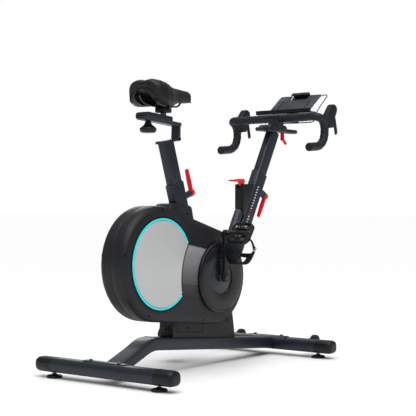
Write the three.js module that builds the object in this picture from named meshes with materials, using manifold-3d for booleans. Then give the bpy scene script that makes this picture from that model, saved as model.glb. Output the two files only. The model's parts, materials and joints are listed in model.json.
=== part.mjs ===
// Indoor spin bike: a welded steel frame on two stabilisers, a sealed flywheel drive with a crank,
// a sliding saddle and a drop handlebar, each on its own height-adjustable post.
// Millimetres, +Z up, +X towards the handlebar, +Y to the rider's left. The floor is z = 0.
import * as THREE from 'three';
import { mergeVertices } from 'three/addons/utils/BufferGeometryUtils.js';
import Module from 'manifold-3d';

const wasm = await Module();
wasm.setup();

// ---------------------------------------------------------------- driving dimensions
// "Station" is the distance forward of the rear stabiliser's axis.
const FOOTPRINT_CENTRE = 636;      // station of the middle of the whole bike
const GAP = 0.3;                   // clearance between touching pieces

const FRONT_STATION = 1011;        // station of the front stabiliser
const STABILISER = { width: 62, height: 52, centreZ: 47, tubeHalf: 238, end: 318, corner: 21, wall: 2.5 };
const FOOT_Y = 244;
const BEAM = { halfWidth: 40, height: 46, wall: 3, topRear: 139, topFront: 72.5, start: 250, end: 979.5 };
const WHEEL = { x: 1078, y: 187, z: 60, radius: 23, width: 22 };

const DRUM = { x: 240, z: 407, radius: 211 };
const CRANK = { x: 582, z: 343, radius: 182 };
const CASING = { rimHalf: 42, faceHalf: 60.5, inset: 33, wall: 3 };
const TRIM = 3.2;                  // thickness of the panels laid on the casing's side
const RING_OUTER = 166.3;
const RING_INNER = 158.5;
const COVER = { radius: 136, face: 74.5, lip: 10, recess: 64 };
const CRANK_LENGTH = 170;
const ARM = { inner: 84, outer: 97 };
const PEDAL = { inner: 118, outer: 212, length: 94, thickness: 18, hang: 125 };

const SEAT_LEAN = -18.5;           // degrees, top leaning back
const SEAT = { x: 397, z: 658, top: 701, tube: [70, 44], bore: [62.2, 38.2], post: [61, 37] };
const BAR_LEAN = 29.5;             // degrees, top leaning forward
const BAR = { x: 1002, z: 852, top: 752, tube: [64, 44], bore: [57.2, 37.2], post: [56, 36] };
const RAIL_TILT = 4;               // the seat rail drops this many degrees towards the front
const SADDLE_REAR = 190;
const HANDLEBAR = { x: 1062, z: 986, half: 222, radius: 17.5 };
const TRAY = { x: 1165, z: 1021, tilt: 36.6, length: 131, half: 104 };

// ---------------------------------------------------------------- finishes
const finish = (color, roughness, metalness, extra = {}) =>
  new THREE.MeshStandardMaterial({ color, roughness, metalness, ...extra });
const FRAME_PAINT = finish(0x24272d, 0.55, 0.4);
const SHELL_PLASTIC = finish(0x2c2d30, 0.6, 0);
const BLACK_PLASTIC = finish(0x17181a, 0.6, 0);
const SILVER = finish(0xb4b5b8, 0.35, 0.6);
const MESH_FILM = finish(0x7c7f82, 0.5, 0.3);
const LIGHT = finish(0x1fd5dd, 0.4, 0, { emissive: 0x10b8c4 });
const RED = finish(0xd81f26, 0.4, 0);
const STEEL = finish(0x8d9096, 0.35, 0.9);
const RUBBER = finish(0x1b1b1d, 0.85, 0);
const COVER_VINYL = finish(0x202123, 0.7, 0);

// ---------------------------------------------------------------- solids
const mm = (v) => new THREE.Vector3(...v);
const rad = THREE.MathUtils.degToRad;

function solidOf(geometry) {
  const bare = new THREE.BufferGeometry();
  bare.setAttribute('position', geometry.getAttribute('position').clone());
  if (geometry.index) bare.setIndex(geometry.index.clone());
  const merged = mergeVertices(bare, 1e-3);
  const position = new Float32Array(merged.getAttribute('position').array);
  const triangles = new Uint32Array(merged.index.array);
  return new wasm.Manifold(new wasm.Mesh({ numProp: 3, vertProperties: position, triVerts: triangles }));
}

function geometryOf(solid) {
  const mesh = solid.getMesh();
  const geometry = new THREE.BufferGeometry();
  const position = new THREE.BufferAttribute(new Float32Array(mesh.vertProperties), 3);
  geometry.setAttribute('position', position);
  geometry.setIndex(new THREE.BufferAttribute(new Uint32Array(mesh.triVerts), 1));
  return geometry;
}

const join = (...shapes) => geometryOf(shapes.map(solidOf).reduce((a, b) => a.add(b)));
const cut = (shape, ...tools) => (
  geometryOf(tools.map(solidOf).reduce((a, b) => a.subtract(b), solidOf(shape))));
const common = (a, b) => geometryOf(solidOf(a).intersect(solidOf(b)));

// A box from its lowest to its highest corner.
function block(low, high) {
  const size = mm(high).sub(mm(low));
  const box = new THREE.BoxGeometry(size.x, size.y, size.z);
  return box.translate(low[0] + size.x / 2, low[1] + size.y / 2, low[2] + size.z / 2);
}

function turn(geometry, axis, degrees) {
  return geometry.applyMatrix4(new THREE.Matrix4().makeRotationAxis(mm(axis), rad(degrees)));
}

// A straight round bar from one point to another.
function bar(from, to, radius, sides = 20, farRadius = radius) {
  const a = mm(from);
  const b = mm(to);
  const length = a.distanceTo(b);
  const shape = new THREE.CylinderGeometry(farRadius, radius, length, sides);
  const aim = new THREE.Quaternion().setFromUnitVectors(mm([0, 1, 0]), b.clone().sub(a).normalize());
  return shape.applyQuaternion(aim).translate(...a.add(b).multiplyScalar(0.5).toArray());
}

// A turned piece: [radius, height] points, first and last on the axis, standing along +Z.
function turned(profile, sides = 32) {
  const points = profile.map(([r, h]) => new THREE.Vector2(r, h));
  return turn(new THREE.LatheGeometry(points, sides), [1, 0, 0], 90);
}

// The same, lying along +Y: heights become y.
const turnedAcross = (profile, sides) => turn(turned(profile, sides), [1, 0, 0], -90);

// A side outline of [x, z] points, as thick as from y0 to y1.
function shapeOf(points) {
  return new THREE.Shape(points.map(([x, z]) => new THREE.Vector2(x, z)));
}
function sideways(shape, y0, y1, options = {}) {
  const { bevel = 0, bevelSegments = 2, curveSegments = 12 } = options;
  const geometry = new THREE.ExtrudeGeometry(shape, {
    depth: y1 - y0 - 2 * bevel, curveSegments, steps: 1,
    bevelEnabled: bevel > 0, bevelThickness: bevel, bevelSize: options.bevelSize ?? bevel,
    bevelOffset: -(options.bevelSize ?? bevel), bevelSegments,
  });
  return turn(geometry, [1, 0, 0], 90).translate(0, y1 - bevel, 0);
}

function roundedRectangle(width, height, corner, cx = 0, cy = 0) {
  const shape = new THREE.Shape();
  const [w, h] = [width / 2 - corner, height / 2 - corner];
  shape.absarc(cx + w, cy + h, corner, 0, Math.PI / 2);
  shape.absarc(cx - w, cy + h, corner, Math.PI / 2, Math.PI);
  shape.absarc(cx - w, cy - h, corner, Math.PI, 1.5 * Math.PI);
  shape.absarc(cx + w, cy - h, corner, 1.5 * Math.PI, 2 * Math.PI);
  return shape;
}

// A bar of a rounded rectangular section standing on its own lean: x across, z along the tube.
function leaning(section, corner, lean, origin, fromZ, toZ, curveSegments = 3) {
  const shape = roundedRectangle(section[0], section[1], corner);
  const slope = Math.cos(rad(lean));
  const [low, high] = [(fromZ - origin.z) / slope, (toZ - origin.z) / slope];
  const bare = new THREE.ExtrudeGeometry(shape, { depth: high - low, bevelEnabled: false, curveSegments });
  return turn(bare.translate(0, 0, low), [0, 1, 0], lean).translate(origin.x, 0, origin.z);
}

// A round tube or wire along a smooth path.
function along(points, radius, steps, sides = 12, tension = 0.35) {
  const path = new THREE.CatmullRomCurve3(points.map(mm), false, 'catmullrom', tension);
  const section = new THREE.Shape();
  section.absarc(0, 0, radius, 0, 2 * Math.PI);
  return new THREE.ExtrudeGeometry(section, { steps, extrudePath: path, curveSegments: sides / 2 });
}

const mirrored = (geometry) => {
  const copy = geometry.clone().scale(1, -1, 1);
  const position = copy.index ? copy.toNonIndexed() : copy;
  const array = position.getAttribute('position').array;
  for (let i = 0; i < array.length; i += 9) {
    for (let k = i + 3; k < i + 6; k += 1) [array[k], array[k + 3]] = [array[k + 3], array[k]];
  }
  return position;
};

// ---------------------------------------------------------------- assembly
const bike = new THREE.Group();
bike.position.x = -FOOTPRINT_CENTRE;

function add(name, geometry, material) {
  const mesh = new THREE.Mesh(geometry, material);
  mesh.name = name;
  bike.add(mesh);
  return mesh;
}
// One piece on each side: the shape is given for the right, y < 0.
function addPair(name, geometry, material) {
  add(`${name}_right`, geometry, material);
  add(`${name}_left`, mirrored(geometry), material);
}

// ---------------------------------------------------------------- stabilisers, feet and wheels
const stabiliserSection = (grow, x) => {
  const { width, height, corner, centreZ } = STABILISER;
  return roundedRectangle(width + 2 * grow, height + 2 * grow, corner + grow, x, centreZ);
};

function stabiliserCap(x, side) {
  const { tubeHalf, end } = STABILISER;
  const long = sideways(stabiliserSection(0, x), -end, -tubeHalf + 40,
    { bevel: 16, bevelSegments: 2, curveSegments: 3 });
  const cap = common(long, block([x - 60, -end - 5, 0], [x + 60, -tubeHalf - GAP, 120]));
  return side < 0 ? cap : mirrored(cap);
}

function mountPlate(x, inner) {
  const outer = sideways(stabiliserSection(4, x), -98, 98, { curveSegments: 3 });
  const tube = sideways(stabiliserSection(GAP, x), -120, 120, { curveSegments: 3 });
  const [from, to] = inner > 0 ? [x - 50, x + 12] : [x - 12, x + 50];
  const reach = block([from, -120, 46], [to, 120, 90]);
  const plate = common(cut(outer, tube), reach);
  const bolts = [-66, 66].map((y) => bar([x, y, 75], [x, y, 81], 8, 8));
  return join(plate, ...bolts);
}

function levellingFoot(x, y) {
  const base = STABILISER.centreZ - STABILISER.height / 2 - GAP;
  const profile = [[0, 0], [27, 0], [28.5, 2.5], [28.5, 8], [24, 11], [7, 14], [7, base], [0, base]];
  return turned(profile, 18).translate(x, y, 0);
}

for (const [end, x, inner] of [['rear', 0, 1], ['front', FRONT_STATION, -1]]) {
  const { tubeHalf, wall } = STABILISER;
  const solidTube = sideways(stabiliserSection(0, x), -tubeHalf, tubeHalf, { curveSegments: 3 });
  const tube = cut(solidTube, sideways(stabiliserSection(-wall, x), -400, 400, { curveSegments: 2 }));
  if (end === 'rear') {
    add('rear_stabilizer', tube, FRAME_PAINT);
  } else {
    // Two forks welded to the front face carry the transport wheels on a fixed pin.
    const forks = [];
    for (const y of [-WHEEL.y, WHEEL.y]) {
      for (const side of [-1, 1]) {
        const cheek = y + side * (WHEEL.width / 2 + 3.5);
        const outline = shapeOf([[x + 20, 36], [WHEEL.x + 4, 49], [WHEEL.x + 10, 58], [WHEEL.x + 6, 70],
          [WHEEL.x - 8, 71], [x + 20, 66]]);
        forks.push(sideways(outline, cheek - 2, cheek + 2));
      }
      forks.push(bar([WHEEL.x, y - 16, WHEEL.z], [WHEEL.x, y + 16, WHEEL.z], 5, 12));
    }
    add('front_stabilizer', join(tube, ...forks), FRAME_PAINT);
  }
  add(`${end}_cap_right`, stabiliserCap(x, -1), BLACK_PLASTIC);
  add(`${end}_cap_left`, stabiliserCap(x, 1), BLACK_PLASTIC);
  add(`${end}_mount_plate`, mountPlate(x, inner), FRAME_PAINT);
  add(`${end}_foot_right`, levellingFoot(x, -FOOT_Y), RUBBER);
  add(`${end}_foot_left`, levellingFoot(x, FOOT_Y), RUBBER);
}

const wheelShape = () => {
  const { radius, width } = WHEEL;
  const half = width / 2;
  const tread = turnedAcross([[0, -half], [radius - 3, -half], [radius, -half + 3], [radius, half - 3],
    [radius - 3, half], [0, half]], 24);
  return cut(tread, bar([0, -half - 1, 0], [0, half + 1, 0], 5.4, 12));
};
for (const [side, y] of [['right', -WHEEL.y], ['left', WHEEL.y]]) {
  add(`transport_wheel_${side}`, wheelShape().translate(WHEEL.x, y, WHEEL.z), RUBBER);
}

// ---------------------------------------------------------------- beam and arched rear leg
const beamSlope = (BEAM.topFront - BEAM.topRear) / (BEAM.end - BEAM.start);
const beamTop = (x) => BEAM.topRear + beamSlope * (x - BEAM.start);
const beamBottom = (x) => beamTop(x) - BEAM.height;

// A rectangular steel tube bent in side view: its outline is inset by the wall to make the bore.
function beamOutline(inset) {
  const [from, to] = [BEAM.start + GAP - 3 * inset, BEAM.end + 3 * inset];
  return shapeOf([[from, beamTop(from) - inset], [to, beamTop(to) - inset], [to, beamBottom(to) + inset],
    [from, beamBottom(from) + inset]]);
}
function legOutline(inset) {
  const [from, to] = [32 - 3 * inset, BEAM.start + 3 * inset];
  const leg = new THREE.Shape();
  leg.moveTo(from, 22.7 + (from - 32) * 0.385 + inset);
  leg.lineTo(from, 63 + (from - 32) * 0.402 - inset);
  leg.lineTo(139, 106 - inset);
  leg.bezierCurveTo(178, 122 - inset, 205, 143.2 - inset, to, beamTop(to) - inset);
  leg.lineTo(to, beamBottom(to) + inset);
  leg.bezierCurveTo(220, 95.7 + inset, 192, 86 + inset, 168, 75 + inset);
  return leg;
}
const boxTube = (outline, half) => cut(sideways(outline(0), -half, half, { bevel: 3.5, curveSegments: 6 }),
  sideways(outline(BEAM.wall), BEAM.wall - half, half - BEAM.wall, { curveSegments: 4 }));
add('main_beam', boxTube(beamOutline, BEAM.halfWidth), FRAME_PAINT);
add('rear_leg', boxTube(legOutline, BEAM.halfWidth), FRAME_PAINT);

// ---------------------------------------------------------------- casing
// The side outline hugs two circles, the drum's and the crank's, joined by their outer tangents.
function casingOutline(shrink) {
  const [a, b] = [DRUM.radius - shrink, CRANK.radius - shrink];
  const distance = Math.hypot(CRANK.x - DRUM.x, CRANK.z - DRUM.z);
  const slope = Math.atan2(CRANK.z - DRUM.z, CRANK.x - DRUM.x);
  const spread = Math.acos((a - b) / distance);
  const shape = new THREE.Shape();
  shape.absarc(DRUM.x, DRUM.z, a, slope + spread, slope - spread + 2 * Math.PI, false);
  shape.absarc(CRANK.x, CRANK.z, b, slope - spread, slope + spread, false);
  return shape;
}

function casingSolid(grow) {
  const half = CASING.faceHalf + grow;
  const thickness = CASING.faceHalf - CASING.rimHalf;
  return sideways(casingOutline(-grow), -half, half,
    { bevel: thickness, bevelSize: CASING.inset, bevelSegments: 2, curveSegments: 12 });
}

const seatTubeRoom = () => leaning([74, 48], 8, SEAT_LEAN, SEAT, 380, 760);
const barTubeRoom = () => leaning([68, 48], 8, BAR_LEAN, BAR, 250, 700);
const spindleRoom = () => bar([CRANK.x, -120, CRANK.z], [CRANK.x, 120, CRANK.z], 24, 16);
const postRoom = () => block([392, -30, 120], [648, 30, 215]);

const shell = cut(casingSolid(0), casingSolid(-CASING.wall), seatTubeRoom(), barTubeRoom(), spindleRoom(),
  postRoom());
const shellRight = common(shell, block([-100, -100, 0], [900, -GAP / 2, 800]));
const shellLeft = common(shell, block([-100, GAP / 2, 0], [900, 100, 800]));
add('casing_right', shellRight, SHELL_PLASTIC);
add('casing_left', shellLeft, SHELL_PLASTIC);

// Panels on each side: the lit ring and the silver disc share the drum's centre, and a dark gap
// that runs round the crank cuts both on the front; a meshed panel fills the space before the cover.
const disc = (x, z, radius, y0, y1, segments = 48) => {
  const shape = new THREE.Shape();
  shape.absarc(x, z, radius, 0, 2 * Math.PI);
  return sideways(shape, y0, y1, { curveSegments: segments / 2 });
};
const faceIn = -CASING.faceHalf - GAP;
const faceOut = faceIn - TRIM;
const GAP_ARC = 237;
const crankSweep = () => disc(CRANK.x, CRANK.z, GAP_ARC, faceOut - 5, faceIn + 5, 44);

addPair('led_ring', cut(disc(DRUM.x, DRUM.z, RING_OUTER, faceOut, faceIn, 44),
  disc(DRUM.x, DRUM.z, RING_INNER, faceOut - 5, faceIn + 5, 44), crankSweep()), LIGHT);
const fullDisc = disc(DRUM.x, DRUM.z, RING_INNER - 0.9, faceOut, faceIn, 44);
addPair('side_disc', cut(fullDisc, crankSweep()), SILVER);

const meshOutline = shapeOf([[330, 485], [545, 446], [545, 260], [330, 289]]);
const aroundCrank = (radius) => disc(CRANK.x, CRANK.z, radius, faceOut - 5, 0, 44);
const meshBand = common(sideways(meshOutline, faceOut, faceIn), aroundCrank(GAP_ARC - 4));
addPair('mesh_panel', cut(meshBand, aroundCrank(COVER.radius + 0.6)), MESH_FILM);

const coverBack = COVER.face - CASING.faceHalf - GAP;
const coverProfile = [[0, 2], [COVER.recess - 3, 2], [COVER.recess, -1.5],
  [COVER.radius - COVER.lip, -1.5], [COVER.radius, 3], [COVER.radius, coverBack], [0, coverBack]];
const coverBlank = turnedAcross(coverProfile.map(([r, h]) => [r, h - COVER.face]), 44)
  .translate(CRANK.x, 0, CRANK.z);
addPair('crank_cover', cut(coverBlank, spindleRoom()), BLACK_PLASTIC);

// Collar cover where the seat tube enters the casing.
const topCoverShape = new THREE.Shape();
topCoverShape.moveTo(296, 590);
topCoverShape.lineTo(322, 622);
topCoverShape.quadraticCurveTo(340, 628, 356, 627);
topCoverShape.lineTo(424, 619);
topCoverShape.quadraticCurveTo(440, 616, 443, 604);
topCoverShape.lineTo(462, 530);
topCoverShape.lineTo(296, 590);
const topCover = sideways(topCoverShape, -40, 40, { bevel: 5, bevelSegments: 2, curveSegments: 4 });
add('seat_tube_cover', cut(topCover, casingSolid(GAP), seatTubeRoom()), SHELL_PLASTIC);

// ---------------------------------------------------------------- pedestal cover and inlet
const pedestalShape = shapeOf([[333, beamTop(333) + GAP], [725, beamTop(725) + GAP], [703, 230], [338, 230]]);
const pedestalBlank = sideways(pedestalShape, -34, 34, { bevel: 4, bevelSegments: 1 });
const pedestalHollow = sideways(shapeOf([[339, 60], [716, 60], [698, 300], [342, 300]]), -30.5, 30.5);
const inletRoom = block([325, -14, 150], [345, 14, 172]);
add('pedestal_cover', cut(pedestalBlank, pedestalHollow, casingSolid(GAP), inletRoom), SHELL_PLASTIC);
const inletBody = block([331, -13.6, 150.4], [350, 13.6, 171.6]);
add('power_inlet', join(inletBody, bar([328, 0, 161], [334, 0, 161], 6, 16)), BLACK_PLASTIC);

// ---------------------------------------------------------------- inner frame and posts' tubes
const PLATE = { near: 22.4, far: 26.4 };
const plateShape = shapeOf([
  [400, beamTop(400) + GAP], [640, beamTop(640) + GAP], [640, 190], [720, 300], [700, 330],
  [615, 385], [555, 385], [520, 440], [470, 440], [430, 330], [268, 428], [225, 436], [212, 400], [236, 376],
  [400, 232]]);
function spinePlate(y0, y1) {
  const axleHole = bar([DRUM.x, -60, DRUM.z], [DRUM.x, 60, DRUM.z], 10.6, 14);
  return cut(sideways(plateShape, y0, y1), axleHole);
}
const base = sideways(shapeOf([[400, beamTop(400) + GAP], [640, beamTop(640) + GAP], [640, beamTop(640) + 22],
  [400, beamTop(400) + 22]]), -PLATE.far, PLATE.far);
const bracketShell = bar([CRANK.x, -29, CRANK.z], [CRANK.x, 29, CRANK.z], 24, 18);
const spine = join(spinePlate(PLATE.near, PLATE.far), spinePlate(-PLATE.far, -PLATE.near), base,
  bracketShell);
add('frame_spine', cut(spine, bar([CRANK.x, -90, CRANK.z], [CRANK.x, 90, CRANK.z], 12.7, 16)), FRAME_PAINT);

const seatBore = () => leaning(SEAT.bore, 10, SEAT_LEAN, SEAT, 380, 800, 2);
const seatAim = [Math.cos(rad(SEAT_LEAN)), 0, -Math.sin(rad(SEAT_LEAN))];
const seatBossZ = 640;
const seatAxisX = SEAT.x + Math.tan(rad(SEAT_LEAN)) * (seatBossZ - SEAT.z);
const onSeatBoss = (distance) => [seatAxisX + distance * seatAim[0], 0, seatBossZ + distance * seatAim[2]];
const seatBossTo = onSeatBoss(77);
const seatTubeBlank = leaning(SEAT.tube, 11, SEAT_LEAN, SEAT, 400, SEAT.top, 3);
const seatTube = join(seatTubeBlank, bar(onSeatBoss(31), seatBossTo, 13, 14));
add('seat_tube', cut(seatTube, seatBore()), FRAME_PAINT);

const barBore = () => leaning(BAR.bore, 9, BAR_LEAN, BAR, 200, 900, 2);
const barAim = [Math.cos(rad(BAR_LEAN)), 0, -Math.sin(rad(BAR_LEAN))];
const barBossZ = 696.5;
const barAxisX = (z) => BAR.x + Math.tan(rad(BAR_LEAN)) * (z - BAR.z);
const onBarBoss = (distance) => (
  [barAxisX(barBossZ) + distance * barAim[0], 0, barBossZ + distance * barAim[2]]);
const barBossTo = onBarBoss(70);
const frontBlank = leaning(BAR.tube, 10, BAR_LEAN, BAR, 300, BAR.top, 3);
add('front_tube', cut(join(frontBlank, bar(onBarBoss(28), barBossTo, 14, 14)), barBore()), FRAME_PAINT);

const supportOffset = 50.8 / Math.cos(rad(BAR_LEAN));
const supportAt = (z) => [barAxisX(z) - supportOffset, 0, z];
const supportProfile = [[0, 0], [18, 0], [18, 150], [16, 157], [10, 162.5], [0, 164.5]];
const supportRod = turn(turned(supportProfile, 16), [0, 1, 0], BAR_LEAN).translate(...supportAt(460));
add('support_tube', cut(supportRod, casingSolid(GAP)), STEEL);

const housingShape = shapeOf([[799, 706], [barAxisX(706) - 37.6, 706], [barAxisX(572) - 37.6, 572],
  [799, 572]]);
const brakeHousing = sideways(housingShape, -21, 21, { bevel: 3, bevelSegments: 1 });
const paddleRoom = block([790, -8.5, 690], [835, 8.5, 730]);
add('brake_housing', cut(brakeHousing, bar(supportAt(500), supportAt(640), 18.7, 20), paddleRoom),
  BLACK_PLASTIC);

// ---------------------------------------------------------------- flywheel and crank spindle
const flywheel = turnedAcross([[0, -48], [10, -48], [10, -43], [26, -43], [26, -31], [10, -31], [10, -15],
  [28, -15], [30, -5], [118, -5], [122, -13.5], [150, -13.5], [150, 13.5], [122, 13.5], [118, 5], [30, 5],
  [28, 15], [10, 15], [10, 34], [0, 34]], 24);
add('flywheel', flywheel.translate(DRUM.x, 0, DRUM.z), STEEL);

const spindle = turnedAcross([[0, -98.5], [9, -98.5], [9, -83], [12, -82], [12, -46], [78, -46],
  [76, -32], [78, -30.5], [18, -30.5], [12, -30], [12, 82], [9, 83], [9, 98.5], [0, 98.5]], 28);
add('crank_spindle', spindle.translate(CRANK.x, 0, CRANK.z), STEEL);

// ---------------------------------------------------------------- cranks and pedals
// The right arm points up and the left arm down.
function crankArm(side, direction) {
  const outline = new THREE.Shape();
  outline.absarc(0, 0, 19, 0.8 * Math.PI, 2.2 * Math.PI, false);
  outline.lineTo(12, CRANK_LENGTH - 30);
  outline.absarc(0, CRANK_LENGTH, 14, 0, Math.PI, false);
  outline.lineTo(-12, CRANK_LENGTH - 30);
  const [low, high] = side < 0 ? [-ARM.outer, -ARM.inner] : [ARM.inner, ARM.outer];
  const blank = sideways(outline, low, high, { bevel: 2.5, bevelSegments: 1, curveSegments: 6 });
  const boss = bar([0, side * (ARM.inner - 1), 0], [0, side * (ARM.outer + 3), 0], 17, 18);
  const bore = bar([0, side * 70, 0], [0, side * 99, 0], 9.4, 16);
  const eye = bar([0, side * 70, CRANK_LENGTH], [0, side * 120, CRANK_LENGTH], 7.4, 14);
  const arm = cut(join(blank, boss), bore, eye);
  return (direction > 0 ? arm : turn(arm, [0, 1, 0], 180)).translate(CRANK.x, 0, CRANK.z);
}
add('crank_arm_right', crankArm(-1, 1), BLACK_PLASTIC);
add('crank_arm_left', crankArm(1, -1), BLACK_PLASTIC);

// A pedal lies along its own x, toe end forward, sole up (+z); y runs outwards from the crank.
function pedalBody() {
  const { length, thickness, inner, outer } = PEDAL;
  const frame = new THREE.Shape();
  const [x, a, b, c] = [length / 2, inner, outer, 14];
  frame.moveTo(-x + c, a);
  frame.lineTo(x - c, a);
  frame.lineTo(x, a + c);
  frame.lineTo(x, b - c);
  frame.lineTo(x - c, b);
  frame.lineTo(-x + c, b);
  frame.lineTo(-x, b - c);
  frame.lineTo(-x, a + c);
  const cage = new THREE.ExtrudeGeometry(frame, {
    depth: thickness - 3, bevelEnabled: true, bevelThickness: 1.5, bevelSize: 1.5, bevelOffset: -1.5, bevelSegments: 1, curveSegments: 4 });
  cage.translate(0, 0, -(thickness - 3) / 2);
  const windows = [[11, 37], [-37, -11]].map(([x0, x1]) => (
    block([x0, inner + 16, -20], [x1, outer - 12, 20])));
  const axle = bar([0, ARM.inner + 1, 0], [0, inner + 4, 0], 7, 14);
  const collar = bar([0, ARM.outer + 2, 0], [0, inner + 2, 0], 10, 12);
  const barrel = bar([0, inner, 0], [0, outer - 2, 0], 11, 12);
  return join(cut(cage, ...windows), axle, collar, barrel);
}

// The toe cage: a band that rises round the toe and runs back over it, widest at the front.
function toeCage() {
  const { thickness, inner, outer } = PEDAL;
  const middle = (inner + outer) / 2;
  const outerPath = new THREE.Shape();
  outerPath.moveTo(48.5, -thickness / 2);
  outerPath.lineTo(74, -thickness / 2);
  outerPath.bezierCurveTo(112, -8, 122, 18, 118, 38);
  outerPath.bezierCurveTo(112, 62, 88, 72, 48, 68);
  outerPath.lineTo(48, 65);
  outerPath.bezierCurveTo(86, 68.5, 108, 60, 114.5, 37);
  outerPath.bezierCurveTo(118, 20, 108, -3, 74, -thickness / 2 + 4);
  outerPath.lineTo(48.5, -thickness / 2 + 4);
  const band = sideways(outerPath, middle - 42, middle + 42, { curveSegments: 6 });
  const taper = new THREE.Shape();
  taper.moveTo(45, middle - 42);
  taper.lineTo(84, middle - 42);
  taper.bezierCurveTo(112, middle - 36, 125, middle - 16, 125, middle);
  taper.bezierCurveTo(125, middle + 16, 112, middle + 36, 84, middle + 42);
  taper.lineTo(45, middle + 42);
  const plan = new THREE.ExtrudeGeometry(taper, { depth: 120, bevelEnabled: false, curveSegments: 6 });
  const rounded = common(band, plan.translate(0, 0, -30));
  const frontWindow = block([96, middle - 17, 20], [130, middle + 17, 44]);
  const topWindow = block([60, middle - 16, 50], [98, middle + 16, 90]);
  return cut(rounded, frontWindow, topWindow);
}

for (const [side, sign, up] of [['right', -1, 1], ['left', 1, -1]]) {
  const place = (geometry) => {
    const own = sign < 0 ? mirrored(geometry) : geometry;
    return turn(own, [0, 1, 0], PEDAL.hang).translate(CRANK.x, 0, CRANK.z + up * CRANK_LENGTH);
  };
  add(`pedal_${side}`, place(pedalBody()), BLACK_PLASTIC);
  add(`toe_cage_${side}`, place(toeCage()), BLACK_PLASTIC);
}

// ---------------------------------------------------------------- seat post, carriage and saddle
const seatPostBar = cut(leaning(SEAT.post, 10, SEAT_LEAN, SEAT, 548, 855, 2),
  leaning(SEAT.post.map((v) => v - 5), 8, SEAT_LEAN, SEAT, 530, 828, 1));
const headPlate = turn(block([-2, -18, 0], [108, 18, 11]), [0, 1, 0], -10.6).translate(296, 0, 843);
const headWeb = block([388, -18, 862], [398, 18, 921]);
const railAt = (geometry) => turn(geometry, [0, 1, 0], RAIL_TILT).translate(396, 0, 921);
const rail = railAt(sideways(roundedRectangle(214, 15, 6, -100, 0), -20, 20, { curveSegments: 3 }));
add('seat_post', join(seatPostBar, headPlate, headWeb, rail), FRAME_PAINT);

// The carriage wraps the rail's top and sides; a saddle stem stands on its front end.
const carriageBlank = railAt(sideways(shapeOf([[-206, -3], [-206, 16], [-196, 22], [-60, 22], [-54, 18],
  [-54, -3]]), -26, 26, { bevel: 1.5, bevelSegments: 1 }));
const railRoom = railAt(block([-240, -20.4, -20], [40, 20.4, 7.9]));
const stem = bar([318, 0, 940], [318, 0, 969], 11, 16);
add('seat_carriage', join(cut(carriageBlank, railRoom), stem), FRAME_PAINT);

const knobTop = 929;
const knobProfile = [[0, -51], [24, -50], [30, -44], [31, -38], [29, -31], [19, -23], [12, -16],
  [10, -8.2], [0, -8.2]];
add('seat_knob', turned(knobProfile, 20).translate(231, 0, knobTop + 3), BLACK_PLASTIC);

// The clamp grips the stem's head and the two saddle rails, which bend in towards the nose.
const clampBody = cut(sideways(roundedRectangle(46, 34, 8, 318, 977), -22, 22, { curveSegments: 3 }),
  bar([318, 0, 930], [318, 0, 972.4], 15, 16));
const clampBolt = bar([318, -30, 978], [318, 30, 978], 5, 8);
const saddleRail = (s) => along([[222, 34 * s, 1020], [235, 34 * s, 1002], [262, 26 * s, 988],
  [318, 22 * s, 984],
  [372, 21 * s, 986], [404, 12 * s, 1002], [424, 5 * s, 1012]], 3.6, 14, 6);
add('saddle_clamp', join(clampBody, clampBolt, saddleRail(-1), saddleRail(1),
  bar([424, -8, 1012], [424, 8, 1012], 4.5, 8), bar([222, -36, 1020], [222, 36, 1020], 4.5, 8)), STEEL);

// The saddle is a plain soft solid: a lofted pad, wide at the back and narrow at the nose.
function loft(rings) {
  const [count, sides] = [rings.length, rings[0].length];
  const points = rings.flat();
  const faces = [];
  const at = (i, j) => i * sides + (j % sides);
  for (let i = 0; i + 1 < count; i += 1) {
    for (let j = 0; j < sides; j += 1) {
      faces.push(at(i, j), at(i + 1, j + 1), at(i + 1, j), at(i, j), at(i, j + 1), at(i + 1, j + 1));
    }
  }
  for (const [ring, order] of [[0, -1], [count - 1, 1]]) {
    for (let j = 1; j + 1 < sides; j += 1) {
      const fan = [at(ring, 0), at(ring, j), at(ring, j + 1)];
      faces.push(...(order > 0 ? fan : fan.reverse()));
    }
  }
  const geometry = new THREE.BufferGeometry();
  geometry.setAttribute('position', new THREE.BufferAttribute(new Float32Array(points.flat()), 3));
  geometry.setIndex(faces);
  return geometry;
}

// The saddle arches over its rails: distance forward of its back, half width, top, widest height,
// foot of the skirts, half width of the hollow and the hollow's roof.
const saddleStations = [[0, 40, 1060, 1048, 1034, 26, 1036], [8, 68, 1071, 1036, 1008, 44, 1033],
  [26, 80, 1077, 1024, 992, 50, 1030], [58, 82, 1077, 1018, 980, 50, 1027],
  [96, 74, 1072, 1014, 980, 46, 1024], [134, 54, 1063, 1016, 986, 38, 1022],
  [176, 37, 1058, 1020, 996, 28, 1021], [220, 29, 1056, 1024, 1001, 19, 1021],
  [258, 25, 1053, 1026, 1003, 14, 1021], [276, 19, 1049, 1024, 1004, 9, 1014],
  [285, 9, 1037, 1020, 1008, 4, 1010]];
const saddleRings = saddleStations.map(([reach, half, top, edge, skirt, inner, roof]) => {
  const over = [[1, edge], [0.94, edge + 0.55 * (top - edge)], [0.76, edge + 0.88 * (top - edge)],
    [0.42, top], [0, top - 3]];
  const right = over.map(([share, z]) => [share * half, z]);
  const under = [[0.97 * half, skirt], [inner, skirt], [0.92 * inner, roof]];
  const across = [...right, ...right.slice(0, 4).reverse().map(([y, z]) => [-y, z]),
    ...under.map(([y, z]) => [-y, z]), [0, roof + 2], ...under.reverse()];
  return across.map(([y, z]) => [SADDLE_REAR + reach, y, z]);
});
add('saddle', loft(saddleRings), COVER_VINYL);

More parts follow.
